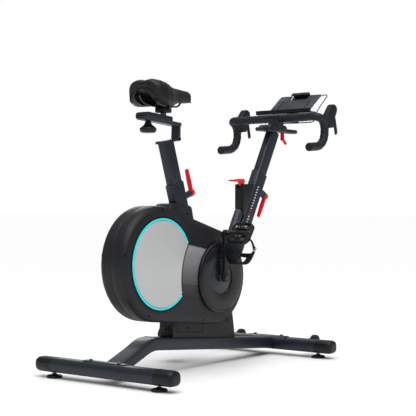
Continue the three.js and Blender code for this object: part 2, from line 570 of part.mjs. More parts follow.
// ---------------------------------------------------------------- clamp levers
// A cam lever: a hub on the boss's axis and a flat handle that runs up or down the tube.
function camLever(bossEnd, aim, handleAngle, length) {
  const at = (distance) => bossEnd.map((v, i) => v + distance * aim[i]);
  const hub = join(bar(at(GAP), at(17), 14, 16), bar(at(17), at(20), 14, 16, 11));
  const lean = (Math.atan2(aim[2], aim[0]) * 180) / Math.PI;
  const handle = roundedRectangle(18, length, 8, 0, length / 2);
  const blade = new THREE.ExtrudeGeometry(handle, {
    depth: 9, bevelEnabled: true, bevelThickness: 1.5, bevelSize: 1.5, bevelOffset: -1.5, bevelSegments: 1,
    curveSegments: 3,
  });
  // The blade is drawn across y and z, facing along +x, then turned with the boss.
  blade.applyMatrix4(new THREE.Matrix4().set(0, 0, 1, 6, 1, 0, 0, 0, 0, 1, 0, 0, 0, 0, 0, 1));
  turn(blade, [1, 0, 0], handleAngle);
  turn(blade, [0, 1, 0], -lean).translate(...bossEnd);
  return join(hub, blade);
}
add('seat_lever', camLever(seatBossTo, seatAim, 0, 94), RED);
add('bar_lever', camLever(barBossTo, barAim, 180, 98), RED);

// ---------------------------------------------------------------- handlebar post and carriage
const barPostBar = cut(leaning(BAR.post, 8, BAR_LEAN, BAR, 590, 930, 2),
  leaning(BAR.post.map((v) => v - 5), 6, BAR_LEAN, BAR, 570, 910, 1));
const barRail = sideways(roundedRectangle(268, 17, 8, 1075, 937), -19, 19, { curveSegments: 4 });
add('bar_post', join(barPostBar, barRail), FRAME_PAINT);

const barCarriageBlank = sideways(shapeOf([[972, 930], [980, 951], [992, 958], [1100, 958], [1112, 950],
  [1112, 938], [1106, 930]]), -29, 29, { bevel: 2, bevelSegments: 1 });
const barRailRoom = block([900, -19.5, 900], [1260, 19.5, 946]);
const barClamp = sideways(roundedRectangle(44, 50, 12, HANDLEBAR.x + 6, HANDLEBAR.z - 12), -26, 26,
  { curveSegments: 4 });
const barHole = bar([HANDLEBAR.x, -60, HANDLEBAR.z], [HANDLEBAR.x, 60, HANDLEBAR.z],
  HANDLEBAR.radius + GAP, 24);
const carriage = cut(join(cut(barCarriageBlank, barRailRoom), barClamp), barRailRoom, barHole);
add('bar_carriage', carriage, FRAME_PAINT);

// ---------------------------------------------------------------- drop handlebar
const { x: topX, z: topZ, half: dropY } = HANDLEBAR;
const barEnd = (s) => [[topX, 55, topZ], [topX, 140, topZ], [1052, 184, topZ], [1050, 204, 985],
  [1061, 219, 981], [1081, dropY, 971], [1095, dropY, 949], [1097, dropY, 916], [1083, dropY, 884],
  [1052, dropY, 864], [1012, dropY, 859], [974, dropY, 856]].map(([x, y, z]) => [x, y * s, z]);
const dropPath = [...barEnd(-1).reverse(), ...barEnd(1)];
add('handlebar', along(dropPath, HANDLEBAR.radius, 44, 12, 0.4), RUBBER);

// Brake hood: a horn that leaves the bend forwards and upwards; the lever hangs in front of it.
const hoodShape = new THREE.Shape();
hoodShape.moveTo(1092, 978);
hoodShape.lineTo(1106, 1000);
hoodShape.lineTo(1134, 1032);
hoodShape.quadraticCurveTo(1150, 1045, 1168, 1039);
hoodShape.quadraticCurveTo(1185, 1030, 1178, 1008);
hoodShape.lineTo(1163, 984);
hoodShape.lineTo(1153, 944);
hoodShape.lineTo(1118, 940);
hoodShape.lineTo(1108, 962);
const hood = sideways(hoodShape, -235, -209, { bevel: 6, bevelSegments: 2, curveSegments: 5 });
const leverSlot = block([1146, -228, 930], [1200, -216, 1018]);
const barSweep = along(dropPath, HANDLEBAR.radius + GAP + 0.2, 44, 12, 0.4);
addPair('brake_hood', cut(hood, barSweep, leverSlot), RUBBER);

const leverShape = new THREE.Shape();
leverShape.moveTo(1160, 1014);
leverShape.lineTo(1170, 1010);
leverShape.bezierCurveTo(1180, 990, 1188, 965, 1197, 922);
leverShape.lineTo(1186, 916);
leverShape.bezierCurveTo(1177, 955, 1168, 982, 1153, 1003);
addPair('brake_lever', sideways(leverShape, -227.4, -216.6, { bevel: 2, bevelSegments: 1, curveSegments: 8 }),
  BLACK_PLASTIC);

// ---------------------------------------------------------------- tablet holder
const onTray = (geometry) => turn(geometry, [0, 1, 0], -TRAY.tilt).translate(TRAY.x, 0, TRAY.z);
const trayPlate = onTray(block([-6, -TRAY.half, -2.5], [TRAY.length, TRAY.half, 2.5]));
const ledge = join(block([1120, -140, 1012], [1168, 140, 1016.5]),
  block([1120, -140, 1012], [1124, 140, 1030]),
  onTray(block([-12, -TRAY.half, -7], [14, TRAY.half, 2.5])));
const bracket = join(block([1112, -24, 974], [1212, 24, 979]), block([1196, -24, 974], [1212, 24, 1046]));
const wireHalf = TRAY.half + 4;
const wireSide = (s) => [[1262, wireHalf - 8, 1091], [1290, wireHalf, 1099], [1306, wireHalf, 1093],
  [1250, wireHalf, 1047], [1222, wireHalf, 1018], [1206, wireHalf - 2, 990], [1200, wireHalf - 12, 976.5]]
  .map(([x, y, z]) => [x, y * s, z]);
const wire = along([...wireSide(-1), [1200, 0, 976.5], ...wireSide(1).reverse()], 2.4, 38, 6);
const clipRoom = onTray(block([TRAY.length - 34, -44, -9], [TRAY.length + 9, 44, 9]));
const trayBody = join(cut(trayPlate, clipRoom), ledge, bracket,
  onTray(block([60, -30, -8], [TRAY.length - 36, 30, -2])), wire);
add('tablet_tray', trayBody, BLACK_PLASTIC);
const clip = join(onTray(block([TRAY.length - 33, -43, -8], [TRAY.length + 8, 43, -4])),
  onTray(block([TRAY.length + 2, -43, -8], [TRAY.length + 8, 43, 14])),
  onTray(block([TRAY.length - 12, -43, 9], [TRAY.length + 8, 43, 14])));
add('tablet_clip', clip, BLACK_PLASTIC);

// ---------------------------------------------------------------- small levers
const slideHub = join(bar([1118, 0, 897], [1118, 0, 927.6], 8.5, 14),
  bar([1114, 0, 908], [1146, 0, 882], 7, 10, 5.5));
add('slide_lever', slideHub, RED);

const paddleHub = bar([812, -7.8, 703], [812, 7.8, 703], 8, 16);
const paddleStem = sideways(shapeOf([[806, 698], [818, 698], [832, 716], [826, 727], [800, 727], [752, 721],
  [750, 714], [800, 715]]), -7.8, 7.8);
const paddleTop = block([750, -20, 716], [792, 20, 722]);
const paddle = join(paddleHub, paddleStem, paddleTop);
add('stop_paddle', paddle, RED);

export default bike;
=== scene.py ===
# %% [markdown]
# # An indoor spin bike
# The bike stands on two stabilisers. A casing hides its flywheel and belt, the saddle and the
# drop handlebar slide on two posts, and each lever, pedal and wheel turns where the real one does.
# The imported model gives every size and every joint, so each piece here is placed from it.

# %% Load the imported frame
import json
import math
import bmesh
import bpy
from mathutils import Matrix, Vector


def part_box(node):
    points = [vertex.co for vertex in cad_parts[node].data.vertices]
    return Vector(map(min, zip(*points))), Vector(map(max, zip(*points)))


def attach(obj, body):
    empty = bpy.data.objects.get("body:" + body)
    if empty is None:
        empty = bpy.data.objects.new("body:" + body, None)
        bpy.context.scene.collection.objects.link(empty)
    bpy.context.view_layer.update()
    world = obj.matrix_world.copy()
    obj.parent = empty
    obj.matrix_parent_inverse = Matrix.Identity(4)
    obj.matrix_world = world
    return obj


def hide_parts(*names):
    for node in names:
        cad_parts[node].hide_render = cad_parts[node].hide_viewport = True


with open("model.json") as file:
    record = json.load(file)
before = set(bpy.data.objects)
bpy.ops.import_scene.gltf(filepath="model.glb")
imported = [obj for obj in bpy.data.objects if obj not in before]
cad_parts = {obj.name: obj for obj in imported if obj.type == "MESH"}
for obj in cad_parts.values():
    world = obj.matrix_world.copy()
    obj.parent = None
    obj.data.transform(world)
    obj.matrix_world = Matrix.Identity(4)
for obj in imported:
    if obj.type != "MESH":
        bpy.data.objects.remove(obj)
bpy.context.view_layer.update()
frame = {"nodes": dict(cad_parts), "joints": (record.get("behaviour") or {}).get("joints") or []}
joint_at = {j["name"]: Vector(j["pos_m"]) for j in frame["joints"] if j.get("pos_m")}

# %% [markdown]
# Lengths below are millimetres in the bike's own frame: distance forward of the rear stabiliser,
# distance to the rider's left, and height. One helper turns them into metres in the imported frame,
# so a number here can be compared with a ruler held against the bike.

# %% Millimetres on the bike to metres in the frame
REAR_X = joint_at["rear_foot_right_turn"].x
SIDES = (("right", -1), ("left", 1))


def in_frame(x, y, z):
    return Vector((REAR_X + x / 1000, y / 1000, z / 1000))


def on_bike(point):
    return Vector(((point.x - REAR_X) * 1000, point.y * 1000, point.z * 1000))


DRUM = on_bike(joint_at["flywheel_spin"])
CRANK = on_bike(joint_at["crank_spin"])
FACE_Y = -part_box("side_disc_right")[0].y * 1000
print("flywheel axis at", DRUM[:], "crank axis at", CRANK[:])

# %% [markdown]
# ## Camera and light
# The bike is seen from behind and from its right, with a long lens at saddle-post height. The floor
# and the surroundings are one pale tone. Big soft lamps give dark surfaces long highlights, and a
# sun as wide as an overcast sky lights the floor evenly.

# %% Camera
camera = bpy.data.objects.new("camera", bpy.data.cameras.new("camera"))
bpy.context.scene.collection.objects.link(camera)
camera.location = (-3.4169, -2.5509, 0.6157)
camera.rotation_euler = (math.radians(89.908), 0, math.radians(-52.894))
camera.data.lens = 94.01
camera.data.sensor_width = 36
bpy.context.scene.camera = camera
bpy.context.scene.view_settings.view_transform = "Standard"
print("camera at", camera.location[:], "with a lens of", camera.data.lens)

# %% Lamps and surroundings
world = bpy.data.worlds.new("studio")
bpy.context.scene.world = world
world.use_nodes = True
sky = world.node_tree
sky.nodes["Background"].inputs["Color"].default_value = (1, 1, 1, 1)
seen = sky.nodes.new("ShaderNodeLightPath")
strength = sky.nodes.new("ShaderNodeMapRange")
strength.inputs["To Min"].default_value, strength.inputs["To Max"].default_value = 0.30, 1.0
sky.links.new(seen.outputs["Is Camera Ray"], strength.inputs["Value"])
sky.links.new(strength.outputs["Result"], sky.nodes["Background"].inputs["Strength"])


def softbox(name, place, aim, size, power):
    lamp = bpy.data.lights.new(name, "AREA")
    lamp.shape, lamp.size, lamp.energy = "SQUARE", size, power
    holder = bpy.data.objects.new(name, lamp)
    holder.location = place
    holder.rotation_euler = (Vector(aim) - Vector(place)).to_track_quat("-Z", "Y").to_euler()
    bpy.context.scene.collection.objects.link(holder)


softbox("key_lamp", (-1.6, -2.2, 3.0), (0, 0, 0.5), 1.6, 22)
softbox("rim_lamp", (2.2, 2.4, 2.0), (0, 0, 0.6), 1.4, 22)
overcast = bpy.data.lights.new("overcast", "SUN")
overcast.energy, overcast.angle = 2.6, math.radians(70)
high_up = bpy.data.objects.new("overcast", overcast)
high_up.rotation_euler = (math.radians(8), math.radians(-10), 0)
bpy.context.scene.collection.objects.link(high_up)

# %% [markdown]
# ## Finishes
# Moulded plastic, powder coat and rubber differ less in colour than in grain: how fine the bumps
# are and how evenly they shine. One helper makes a finish from a colour that drifts a little, a
# bump of the grain's real size and a roughness that varies, all on Object coordinates.


# %% Nodes that every finish uses
def wire(tree, source, output, target, socket):
    tree.links.new(source.outputs[output], target.inputs[socket])


def noise(tree, coordinates, size, detail=3.0):
    made = tree.nodes.new("ShaderNodeTexNoise")
    made.inputs["Scale"].default_value = 1 / size
    made.inputs["Detail"].default_value = detail
    wire(tree, coordinates, "Object", made, "Vector")
    return made


def ramp(tree, source, output, stops):
    made = tree.nodes.new("ShaderNodeValToRGB")
    wire(tree, source, output, made, "Fac")
    bands = made.color_ramp.elements
    while len(bands) < len(stops):
        bands.new(0.5)
    for band, (place, colour) in zip(bands, stops):
        band.position, band.color = place, (*colour, 1)
    return made


def spread(tree, source, output, low, high):
    made = tree.nodes.new("ShaderNodeMapRange")
    made.inputs["To Min"].default_value, made.inputs["To Max"].default_value = low, high
    wire(tree, source, output, made, "Value")
    return made


def bump(tree, source, output, depth, strength=1.0, under=None):
    made = tree.nodes.new("ShaderNodeBump")
    made.inputs["Distance"].default_value = depth
    made.inputs["Strength"].default_value = strength
    wire(tree, source, output, made, "Height")
    if under:
        wire(tree, under, "Normal", made, "Normal")
    return made


print("node helpers", [maker.__name__ for maker in (wire, noise, ramp, spread, bump)])


# %% One finish from a colour, a gloss and a grain
def finish(name, colour, roughness, drift=0.12, patch=0.06, grain=0.0008, depth=0.00006,
           uneven=0.05, metallic=0.0, coat=0.0, specular=0.35):
    made = bpy.data.materials.new(name)
    made.use_nodes = True
    tree = made.node_tree
    shader = tree.nodes["Principled BSDF"]
    place = tree.nodes.new("ShaderNodeTexCoord")
    patches = noise(tree, place, patch, 4)
    pale = [min(1, c * (1 + drift)) for c in colour]
    deep = [c * (1 - drift) for c in colour]
    tint = ramp(tree, patches, "Fac", [(0.3, deep), (0.7, pale)])
    wire(tree, tint, "Color", shader, "Base Color")
    fine = noise(tree, place, grain, 2)
    wire(tree, bump(tree, fine, "Fac", depth), "Normal", shader, "Normal")
    gloss = spread(tree, noise(tree, place, patch / 3, 5), "Fac", roughness - uneven, roughness + uneven)
    wire(tree, gloss, "Result", shader, "Roughness")
    shader.inputs["Metallic"].default_value = metallic
    shader.inputs["Coat Weight"].default_value = coat
    shader.inputs["Coat Roughness"].default_value = 0.15
    shader.inputs["Specular IOR Level"].default_value = specular
    return made


print("a finish starts from", finish.__defaults__)

# %% The bike's finishes
powder_coat = finish("powder_coat", (0.010, 0.015, 0.024), 0.36, grain=0.0014, depth=0.00005)
shell_plastic = finish("shell_plastic", (0.009, 0.0098, 0.0115), 0.46, grain=0.0007, depth=0.00004,
                       specular=0.28)
black_plastic = finish("black_plastic", (0.0045, 0.0055, 0.007), 0.40, grain=0.0007, specular=0.28)
satin_black = finish("satin_black", (0.0055, 0.0065, 0.008), 0.30, grain=0.0011, depth=0.00003,
                     specular=0.3)
recess_black = finish("recess_black", (0.006, 0.011, 0.015), 0.26, grain=0.001, depth=0.00002,
                      specular=0.4)
# Near black for screws, the band round the crank and the inlet's socket. The same near black is also laid
# on as painted shade where grooves, slots and a sunk window are drawn as thin strips instead of being
# cut.
black_and_groove_shade = finish("black_and_groove_shade", (0.002, 0.002, 0.0024), 0.6, specular=0.2)
silver_lacquer = finish("silver_lacquer", (0.50, 0.505, 0.51), 0.36, drift=0.06, patch=0.30, grain=0.0005,
                        depth=0.00001, metallic=0.15)
lever_red = finish("lever_red", (0.72, 0.004, 0.010), 0.34, drift=0.06, depth=0.00002, specular=0.25)
paddle_red = finish("paddle_red", (0.80, 0.030, 0.006), 0.36, drift=0.06, depth=0.00002, specular=0.25)
bright_steel = finish("bright_steel", (0.42, 0.42, 0.44), 0.26, metallic=1.0, grain=0.0004, depth=0.00001)
dark_steel = finish("dark_steel", (0.10, 0.10, 0.11), 0.34, metallic=1.0, grain=0.0006, depth=0.00001)
dark_alloy = finish("dark_alloy", (0.012, 0.0125, 0.014), 0.28, metallic=0.3, grain=0.001, depth=0.00002)
pale_tube = finish("pale_tube", (0.035, 0.038, 0.048), 0.33, metallic=0.2, grain=0.001, depth=0.00002)
rubber = finish("rubber", (0.006, 0.007, 0.009), 0.55, grain=0.0011, depth=0.00010, specular=0.25)
slate_plate = finish("slate_plate", (0.022, 0.028, 0.034), 0.42, grain=0.0012, depth=0.00003)
white_print = finish("white_print", (0.62, 0.62, 0.63), 0.5, drift=0.05, depth=0.00001)
red_print = finish("red_print", (0.55, 0.01, 0.015), 0.5, drift=0.05, depth=0.00001)
thread_black = finish("thread_black", (0.02, 0.02, 0.021), 0.8, grain=0.0004, depth=0.0001)
print("finishes", len(bpy.data.materials))

# %% [markdown]
# The lit ring is a strip of milky plastic with lamps behind it. Emission gives it its glow, and a
# soft noise keeps the strip from being perfectly even, as real light guides are not.

# %% Light guide
light_guide = finish("light_guide", (0.02, 0.55, 0.58), 0.35, drift=0.05, depth=0.00001)
lit = light_guide.node_tree
lit_shader = lit.nodes["Principled BSDF"]
lit_shader.inputs["Emission Strength"].default_value = 0.42
glow_noise = noise(lit, lit.nodes.new("ShaderNodeTexCoord"), 0.03, 2)
wire(lit, ramp(lit, glow_noise, "Fac", [(0.35, (0.0, 0.60, 0.64)), (0.65, (0.0, 0.70, 0.74))]),
     "Color", lit_shader, "Emission Color")
print("ring glow", lit_shader.inputs["Emission Strength"].default_value)

# %% [markdown]
# The printed panel fades from silver at the top to near black at the bottom. The fade follows
# height, read from Object coordinates, and real raised scales are laid on it later.


# %% Faded panel film
def faded_film(name, low, high, top_colour, bottom_colour):
    made = finish(name, top_colour, 0.36, drift=0.03, depth=0.00001)
    tree = made.node_tree
    shader = tree.nodes["Principled BSDF"]
    split = tree.nodes.new("ShaderNodeSeparateXYZ")
    wire(tree, tree.nodes.new("ShaderNodeTexCoord"), "Object", split, "Vector")
    level = tree.nodes.new("ShaderNodeMapRange")
    level.inputs["From Min"].default_value, level.inputs["From Max"].default_value = low, high
    wire(tree, split, "Z", level, "Value")
    middle = [(a + b) * 0.42 for a, b in zip(top_colour, bottom_colour)]
    fade = ramp(tree, level, "Result", [(0.1, bottom_colour), (0.5, middle), (0.95, top_colour)])
    wire(tree, fade, "Color", shader, "Base Color")
    return made


film_low, film_high = (corner.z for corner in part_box("mesh_panel_right"))
panel_film = faded_film("panel_film", film_low, film_high, (0.13, 0.132, 0.137), (0.004, 0.004, 0.0045))
scale_film = faded_film("scale_film", film_low, film_high, (0.46, 0.465, 0.475), (0.014, 0.014, 0.016))
print("the film fades between heights", film_low, film_high)

# %% [markdown]
# Saddle covers are embossed synthetic leather. Small cells pressed into the surface are a Voronoi
# pattern, and a finer noise on top breaks the cells' edges, so both go through one bump chain.


# %% Saddle cover
def leather(name, colour, roughness, cell):
    made = finish(name, colour, roughness, drift=0.10, patch=0.04, specular=0.3)
    tree = made.node_tree
    shader = tree.nodes["Principled BSDF"]
    cells = tree.nodes.new("ShaderNodeTexVoronoi")
    cells.feature = "DISTANCE_TO_EDGE"
    cells.inputs["Scale"].default_value = 1 / cell
    place = tree.nodes.new("ShaderNodeTexCoord")
    wire(tree, place, "Object", cells, "Vector")
    creases = bump(tree, cells, "Distance", 0.00035, 0.6)
    wire(tree, bump(tree, noise(tree, place, cell / 5), "Fac", 0.00008, 1.0, creases), "Normal", shader,
         "Normal")
    return made


saddle_vinyl = leather("saddle_vinyl", (0.006, 0.0064, 0.0078), 0.42, 0.0032)
bar_tape = leather("bar_tape", (0.007, 0.010, 0.016), 0.55, 0.0016)
print("embossed covers", saddle_vinyl.name, bar_tape.name)

# %% [markdown]
# ## Builders
# Most pieces are one of four kinds: a flat outline given a thickness, a turned profile, a section
# swept along a path, or rings joined into a skin. Each helper returns a closed bmesh, in bike
# millimetres, and one last helper puts the result into the scene on its body.


# %% Outlines
def arc(cx, cy, radius, start, end, steps):
    turns = [math.radians(start + (end - start) * i / steps) for i in range(steps + 1)]
    return [(cx + radius * math.cos(t), cy + radius * math.sin(t)) for t in turns]


def rounded(width, height, corner, cx=0.0, cy=0.0, steps=6):
    w, h = width / 2 - corner, height / 2 - corner
    made = []
    for sx, sy, start in ((1, 1, 0), (-1, 1, 90), (-1, -1, 180), (1, -1, 270)):
        made += arc(cx + sx * w, cy + sy * h, corner, start, start + 90, steps)
    return made


def bezier(a, b, c, d, steps=10):
    made = []
    for i in range(steps + 1):
        t = i / steps
        weights = ((1 - t) ** 3, 3 * t * (1 - t) ** 2, 3 * t * t * (1 - t), t ** 3)
        made.append(tuple(sum(w * p[k] for w, p in zip(weights, (a, b, c, d))) for k in (0, 1)))
    return made


def softened(outline, radius, steps=4):
    """The outline with each corner rounded to about that radius."""
    made = []
    count = len(outline)
    for i, here in enumerate(outline):
        here = Vector(here)
        before = Vector(outline[i - 1]) - here
        after = Vector(outline[(i + 1) % count]) - here
        reach = min(radius, before.length * 0.45, after.length * 0.45)
        a = here + before.normalized() * reach
        b = here + after.normalized() * reach
        turns = [k / steps for k in range(steps + 1)]
        made += [tuple(a.lerp(here, t).lerp(here.lerp(b, t), t)) for t in turns]
    return made


print("points on a rounded outline", len(rounded(20, 10, 2)))


# %% A closed skin from rings
def skin(rings, ends=True):
    made = bmesh.new()
    rows = [[made.verts.new(p) for p in ring] for ring in rings]
    for a, b in zip(rows, rows[1:]):
        for j in range(len(a)):
            k = (j + 1) % len(a)
            made.faces.new((a[j], a[k], b[k], b[j]))
    if ends:
        made.faces.new(rows[0][::-1])
        made.faces.new(rows[-1])
    bmesh.ops.remove_doubles(made, verts=made.verts, dist=1e-3)
    bmesh.ops.recalc_face_normals(made, faces=made.faces)
    return made


sample = skin([[(0, 0, z), (1, 0, z), (0, 1, z)] for z in (0, 1)])
print("a sample skin has", len(sample.faces), "faces")
sample.free()

# %% Slabs from outlines and turned shapes from profiles
LIFT = {"x": lambda u, v, h: (h, u, v), "y": lambda u, v, h: (u, h, v), "z": lambda u, v, h: (u, v, h)}


def slab(outline, low, high, edge=0.0, steps=3, axis="y"):
    lift = LIFT[axis]
    made = bmesh.new()
    clean = [p for i, p in enumerate(outline) if (Vector(p) - Vector(outline[i - 1])).length > 1e-3]
    rows = [[made.verts.new(lift(u, v, h)) for u, v in clean] for h in (low, high)]
    count = len(clean)
    caps = [made.faces.new(rows[0][::-1]), made.faces.new(rows[1])]
    for j in range(count):
        k = (j + 1) % count
        made.faces.new((rows[0][j], rows[0][k], rows[1][k], rows[1][j]))
    bmesh.ops.recalc_face_normals(made, faces=made.faces)
    if edge:
        rims = list({e for cap in caps for e in cap.edges})
        bmesh.ops.bevel(made, geom=rims, offset=edge, segments=steps, profile=0.5,
                        affect="EDGES", clamp_overlap=True)
    return made


def lathe(profile, centre, axis="z", sides=64):
    centre = Vector(centre)
    rings = []
    for radius, height in profile:
        ring = []
        for j in range(sides):
            t = 2 * math.pi * j / sides
            u, v = max(radius, 1e-5) * math.cos(t), max(radius, 1e-5) * math.sin(t)
            ring.append(centre + Vector(LIFT[axis](u, v, height)))
        rings.append(ring)
    return skin(rings)


def rod(start, end, radius, sides=24, far=None, edge=0.8):
    """A straight round bar with softened ends, and a second radius if it tapers."""
    far = radius if far is None else far
    start, end = Vector(start), Vector(end)
    length = (end - start).length
    profile = [(0, 0), (radius - edge, 0), (radius, edge), (far, length - edge), (far - edge, length),
               (0, length)]
    made = lathe(profile, (0, 0, 0), "z", sides)
    aim = (end - start).to_track_quat("Z", "Y").to_matrix().to_4x4()
    made.transform(Matrix.Translation(start) @ aim)
    return made


sample = rod((0, 0, 0), (0, 0, 10), 3)
print("a sample rod fills", round(sample.calc_volume()), "cubic millimetres")
sample.free()


# %% Sections swept along paths
def smooth_path(points, steps=8):
    """Points on a smooth curve through the given ones."""
    pts = [Vector(p) for p in points]
    made = []
    for i in range(len(pts) - 1):
        p0, p1 = pts[max(i - 1, 0)], pts[i]
        p2, p3 = pts[i + 1], pts[min(i + 2, len(pts) - 1)]
        for k in range(steps):
            t = k / steps
            made.append(0.5 * (2 * p1 + (p2 - p0) * t + (2 * p0 - 5 * p1 + 4 * p2 - p3) * t * t
                               + (3 * p1 - p0 - 3 * p2 + p3) * t ** 3))
    return made + [pts[-1]]


def frames_on(path, up=(0, 0, 1)):
    """Position, side and upward direction at each point, carried along without twisting."""
    side = None
    made = []
    for i, here in enumerate(path):
        ahead = (path[min(i + 1, len(path) - 1)] - path[max(i - 1, 0)]).normalized()
        if side is None:
            side = Vector(up).cross(ahead)
            if side.length < 1e-3:
                side = Vector((0, 1, 0)).cross(ahead)
        side = (side - ahead * side.dot(ahead)).normalized()
        made.append((here, side, ahead.cross(side)))
    return made


def sweep(path, section, up=(0, 0, 1)):
    """The section, a list of (across, up) points or a function of the fraction run, along the path."""
    rings = []
    for i, (here, side, above) in enumerate(frames_on(path, up)):
        shape = section(i / (len(path) - 1)) if callable(section) else section
        rings.append([here + side * a + above * b for a, b in shape])
    return skin(rings)


def tube(points, radius, sides=20, steps=8, up=(0, 0, 1)):
    return sweep(smooth_path(points, steps), arc(0, 0, radius, 0, 360 - 360 / sides, sides - 1), up)


print("points on a smooth path", len(smooth_path([(0, 0, 0), (10, 0, 0), (20, 5, 0)])))


# %% Join, turn and mirror
def together(*parts):
    whole = bmesh.new()
    for part in parts:
        carrier = bpy.data.meshes.new("carrier")
        part.to_mesh(carrier)
        whole.from_mesh(carrier)
        bpy.data.meshes.remove(carrier)
        part.free()
    return whole


def turned(part, axis, degrees, about=(0, 0, 0)):
    about = Vector(about)
    part.transform(Matrix.Translation(about) @ Matrix.Rotation(math.radians(degrees), 4, axis)
                   @ Matrix.Translation(-about))
    return part


def other_side(part):
    part.transform(Matrix.Scale(-1, 4, (0, 1, 0)))
    bmesh.ops.recalc_face_normals(part, faces=part.faces)
    return part


def on_side(part, sign):
    """The part as drawn for the rider's left, or its mirror image for the right."""
    return other_side(part) if sign < 0 else part


sample = slab(rounded(20, 10, 2), 0, 3, 0.5)
print("a sample slab fills", round(sample.calc_volume()), "cubic millimetres")
sample.free()


# %% Put a piece in the scene on its body
def piece(name, part, material, body="root", stands_for=(), angle=32):
    for vertex in part.verts:
        vertex.co = in_frame(*vertex.co)
    mesh = bpy.data.meshes.new(name)
    part.to_mesh(mesh)
    part.free()
    mesh.materials.append(material)
    mesh.shade_smooth()
    mesh.set_sharp_from_angle(angle=math.radians(angle))
    made = bpy.data.objects.new(name, mesh)
    bpy.context.scene.collection.objects.link(made)
    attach(made, body)
    if stands_for:
        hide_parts(*stands_for)
    print(name, "has", len(mesh.polygons), "faces and rides", body)
    return made


def boolean(target, tool_part):
    """Cuts a piece with a closed bmesh, and leaves a plain mesh."""
    for vertex in tool_part.verts:
        vertex.co = in_frame(*vertex.co)
    carrier = bpy.data.meshes.new("cutter")
    tool_part.to_mesh(carrier)
    tool_part.free()
    cutter = bpy.data.objects.new("cutter", carrier)
    bpy.context.scene.collection.objects.link(cutter)
    step = target.modifiers.new("cut", "BOOLEAN")
    step.operation, step.solver, step.object = "DIFFERENCE", "EXACT", cutter
    bpy.context.view_layer.update()
    result = bpy.data.meshes.new_from_object(target.evaluated_get(bpy.context.evaluated_depsgraph_get()))
    target.modifiers.clear()
    old, target.data = target.data, result
    result.set_sharp_from_angle(angle=math.radians(32))
    bpy.data.meshes.remove(old)
    bpy.data.objects.remove(cutter)
    return target


print("pieces of the packed model to stand in for", len(frame["nodes"]))


# %% [markdown]
# ## The floor
# A plain floor, pale and matt, tells how the bike stands. It is stage, not part of the bike.

# %% Floor
floor_mesh = bpy.data.meshes.new("floor")
reach = 60.0
floor_mesh.from_pydata([(-reach, -reach, 0), (reach, -reach, 0), (reach, reach, 0), (-reach, reach, 0)],
                       [], [(0, 1, 2, 3)])
floor = bpy.data.objects.new("floor", floor_mesh)
floor_mesh.materials.append(finish("floor_paper", (0.91, 0.91, 0.91), 0.9, drift=0.01, depth=0.00001,
                                   specular=0.1))
bpy.context.scene.collection.objects.link(floor)
print("floor reaches", reach, "metres each way")

# %% [markdown]
# ## Screws and other things that repeat
# Every fastener is the same small shape put on many points, so Geometry Nodes places them. A tree
# takes points that carry an aim, turns a screw head to each aim and gives it its finish. The result
# is turned into a plain mesh before it rides, because the export drops live instances.


# %% Fastener tree
def new_tree(name, inputs):
    tree = bpy.data.node_groups.new(name, "GeometryNodeTree")
    tree.interface.new_socket("Geometry", in_out="INPUT", socket_type="NodeSocketGeometry")
    for label, kind in inputs:
        tree.interface.new_socket(label, in_out="INPUT", socket_type=kind)
    tree.interface.new_socket("Geometry", in_out="OUTPUT", socket_type="NodeSocketGeometry")
    return tree, tree.nodes.new("NodeGroupInput"), tree.nodes.new("NodeGroupOutput")


def cones_on_points(name, sides):
    """A tree that puts one small cone with a flat head on each point, turned to the point's aim."""
    sizes = [(label, "NodeSocketFloat") for label in ("Head Radius", "Base Radius", "Height")]
    tree, given, out = new_tree(name, [*sizes, ("Finish", "NodeSocketMaterial")])
    head = tree.nodes.new("GeometryNodeMeshCone")
    head.inputs["Vertices"].default_value = sides
    for label, socket in (("Head Radius", "Radius Top"), ("Base Radius", "Radius Bottom"),
                          ("Height", "Depth")):
        wire(tree, given, label, head, socket)
    aim = tree.nodes.new("GeometryNodeInputNamedAttribute")
    aim.data_type = "FLOAT_VECTOR"
    aim.inputs["Name"].default_value = "aim"
    turn = tree.nodes.new("FunctionNodeAlignRotationToVector")
    turn.axis = "Z"
    wire(tree, aim, "Attribute", turn, "Vector")
    put = tree.nodes.new("GeometryNodeInstanceOnPoints")
    wire(tree, given, "Geometry", put, "Points")
    wire(tree, head, "Mesh", put, "Instance")
    wire(tree, turn, "Rotation", put, "Rotation")
    real = tree.nodes.new("GeometryNodeRealizeInstances")
    wire(tree, put, "Instances", real, "Geometry")
    paint = tree.nodes.new("GeometryNodeSetMaterial")
    wire(tree, real, "Geometry", paint, "Geometry")
    wire(tree, given, "Finish", paint, "Material")
    wire(tree, paint, "Geometry", out, "Geometry")
    return tree


def cone_sizes(head, base, height, material):
    """Values for such a tree's inputs, from millimetres."""
    return {"Head Radius": head / 1000, "Base Radius": base / 1000, "Height": height / 1000,
            "Finish": material}


screw_tree = cones_on_points("fastener_heads", 14)
print("tree inputs", [item.name for item in screw_tree.interface.items_tree if item.in_out == "INPUT"])


# %% Grow a tree over points and keep a plain mesh
def grown(name, points, tree, values, body="root", aims=None):
    """Runs a tree over points, given in bike millimetres, and keeps the result as a plain mesh."""
    mesh = bpy.data.meshes.new(name)
    mesh.from_pydata([in_frame(*p) for p in points], [], [])
    if aims:
        holder = mesh.attributes.new("aim", "FLOAT_VECTOR", "POINT")
        for entry, aim in zip(holder.data, aims):
            entry.vector = aim
    made = bpy.data.objects.new(name, mesh)
    bpy.context.scene.collection.objects.link(made)
    step = made.modifiers.new("grow", "NODES")
    step.node_group = tree
    for item in tree.interface.items_tree:
        if item.in_out == "INPUT" and item.name in values:
            step[item.identifier] = values[item.name]
    bpy.context.view_layer.update()
    result = bpy.data.meshes.new_from_object(made.evaluated_get(bpy.context.evaluated_depsgraph_get()))
    made.modifiers.clear()
    made.data = result
    bpy.data.meshes.remove(mesh)
    result.shade_smooth()
    result.set_sharp_from_angle(angle=math.radians(32))
    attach(made, body)
    print(name, len(points), "placed,", len(result.polygons), "faces")
    return made


HEAD_SHARE = 0.82


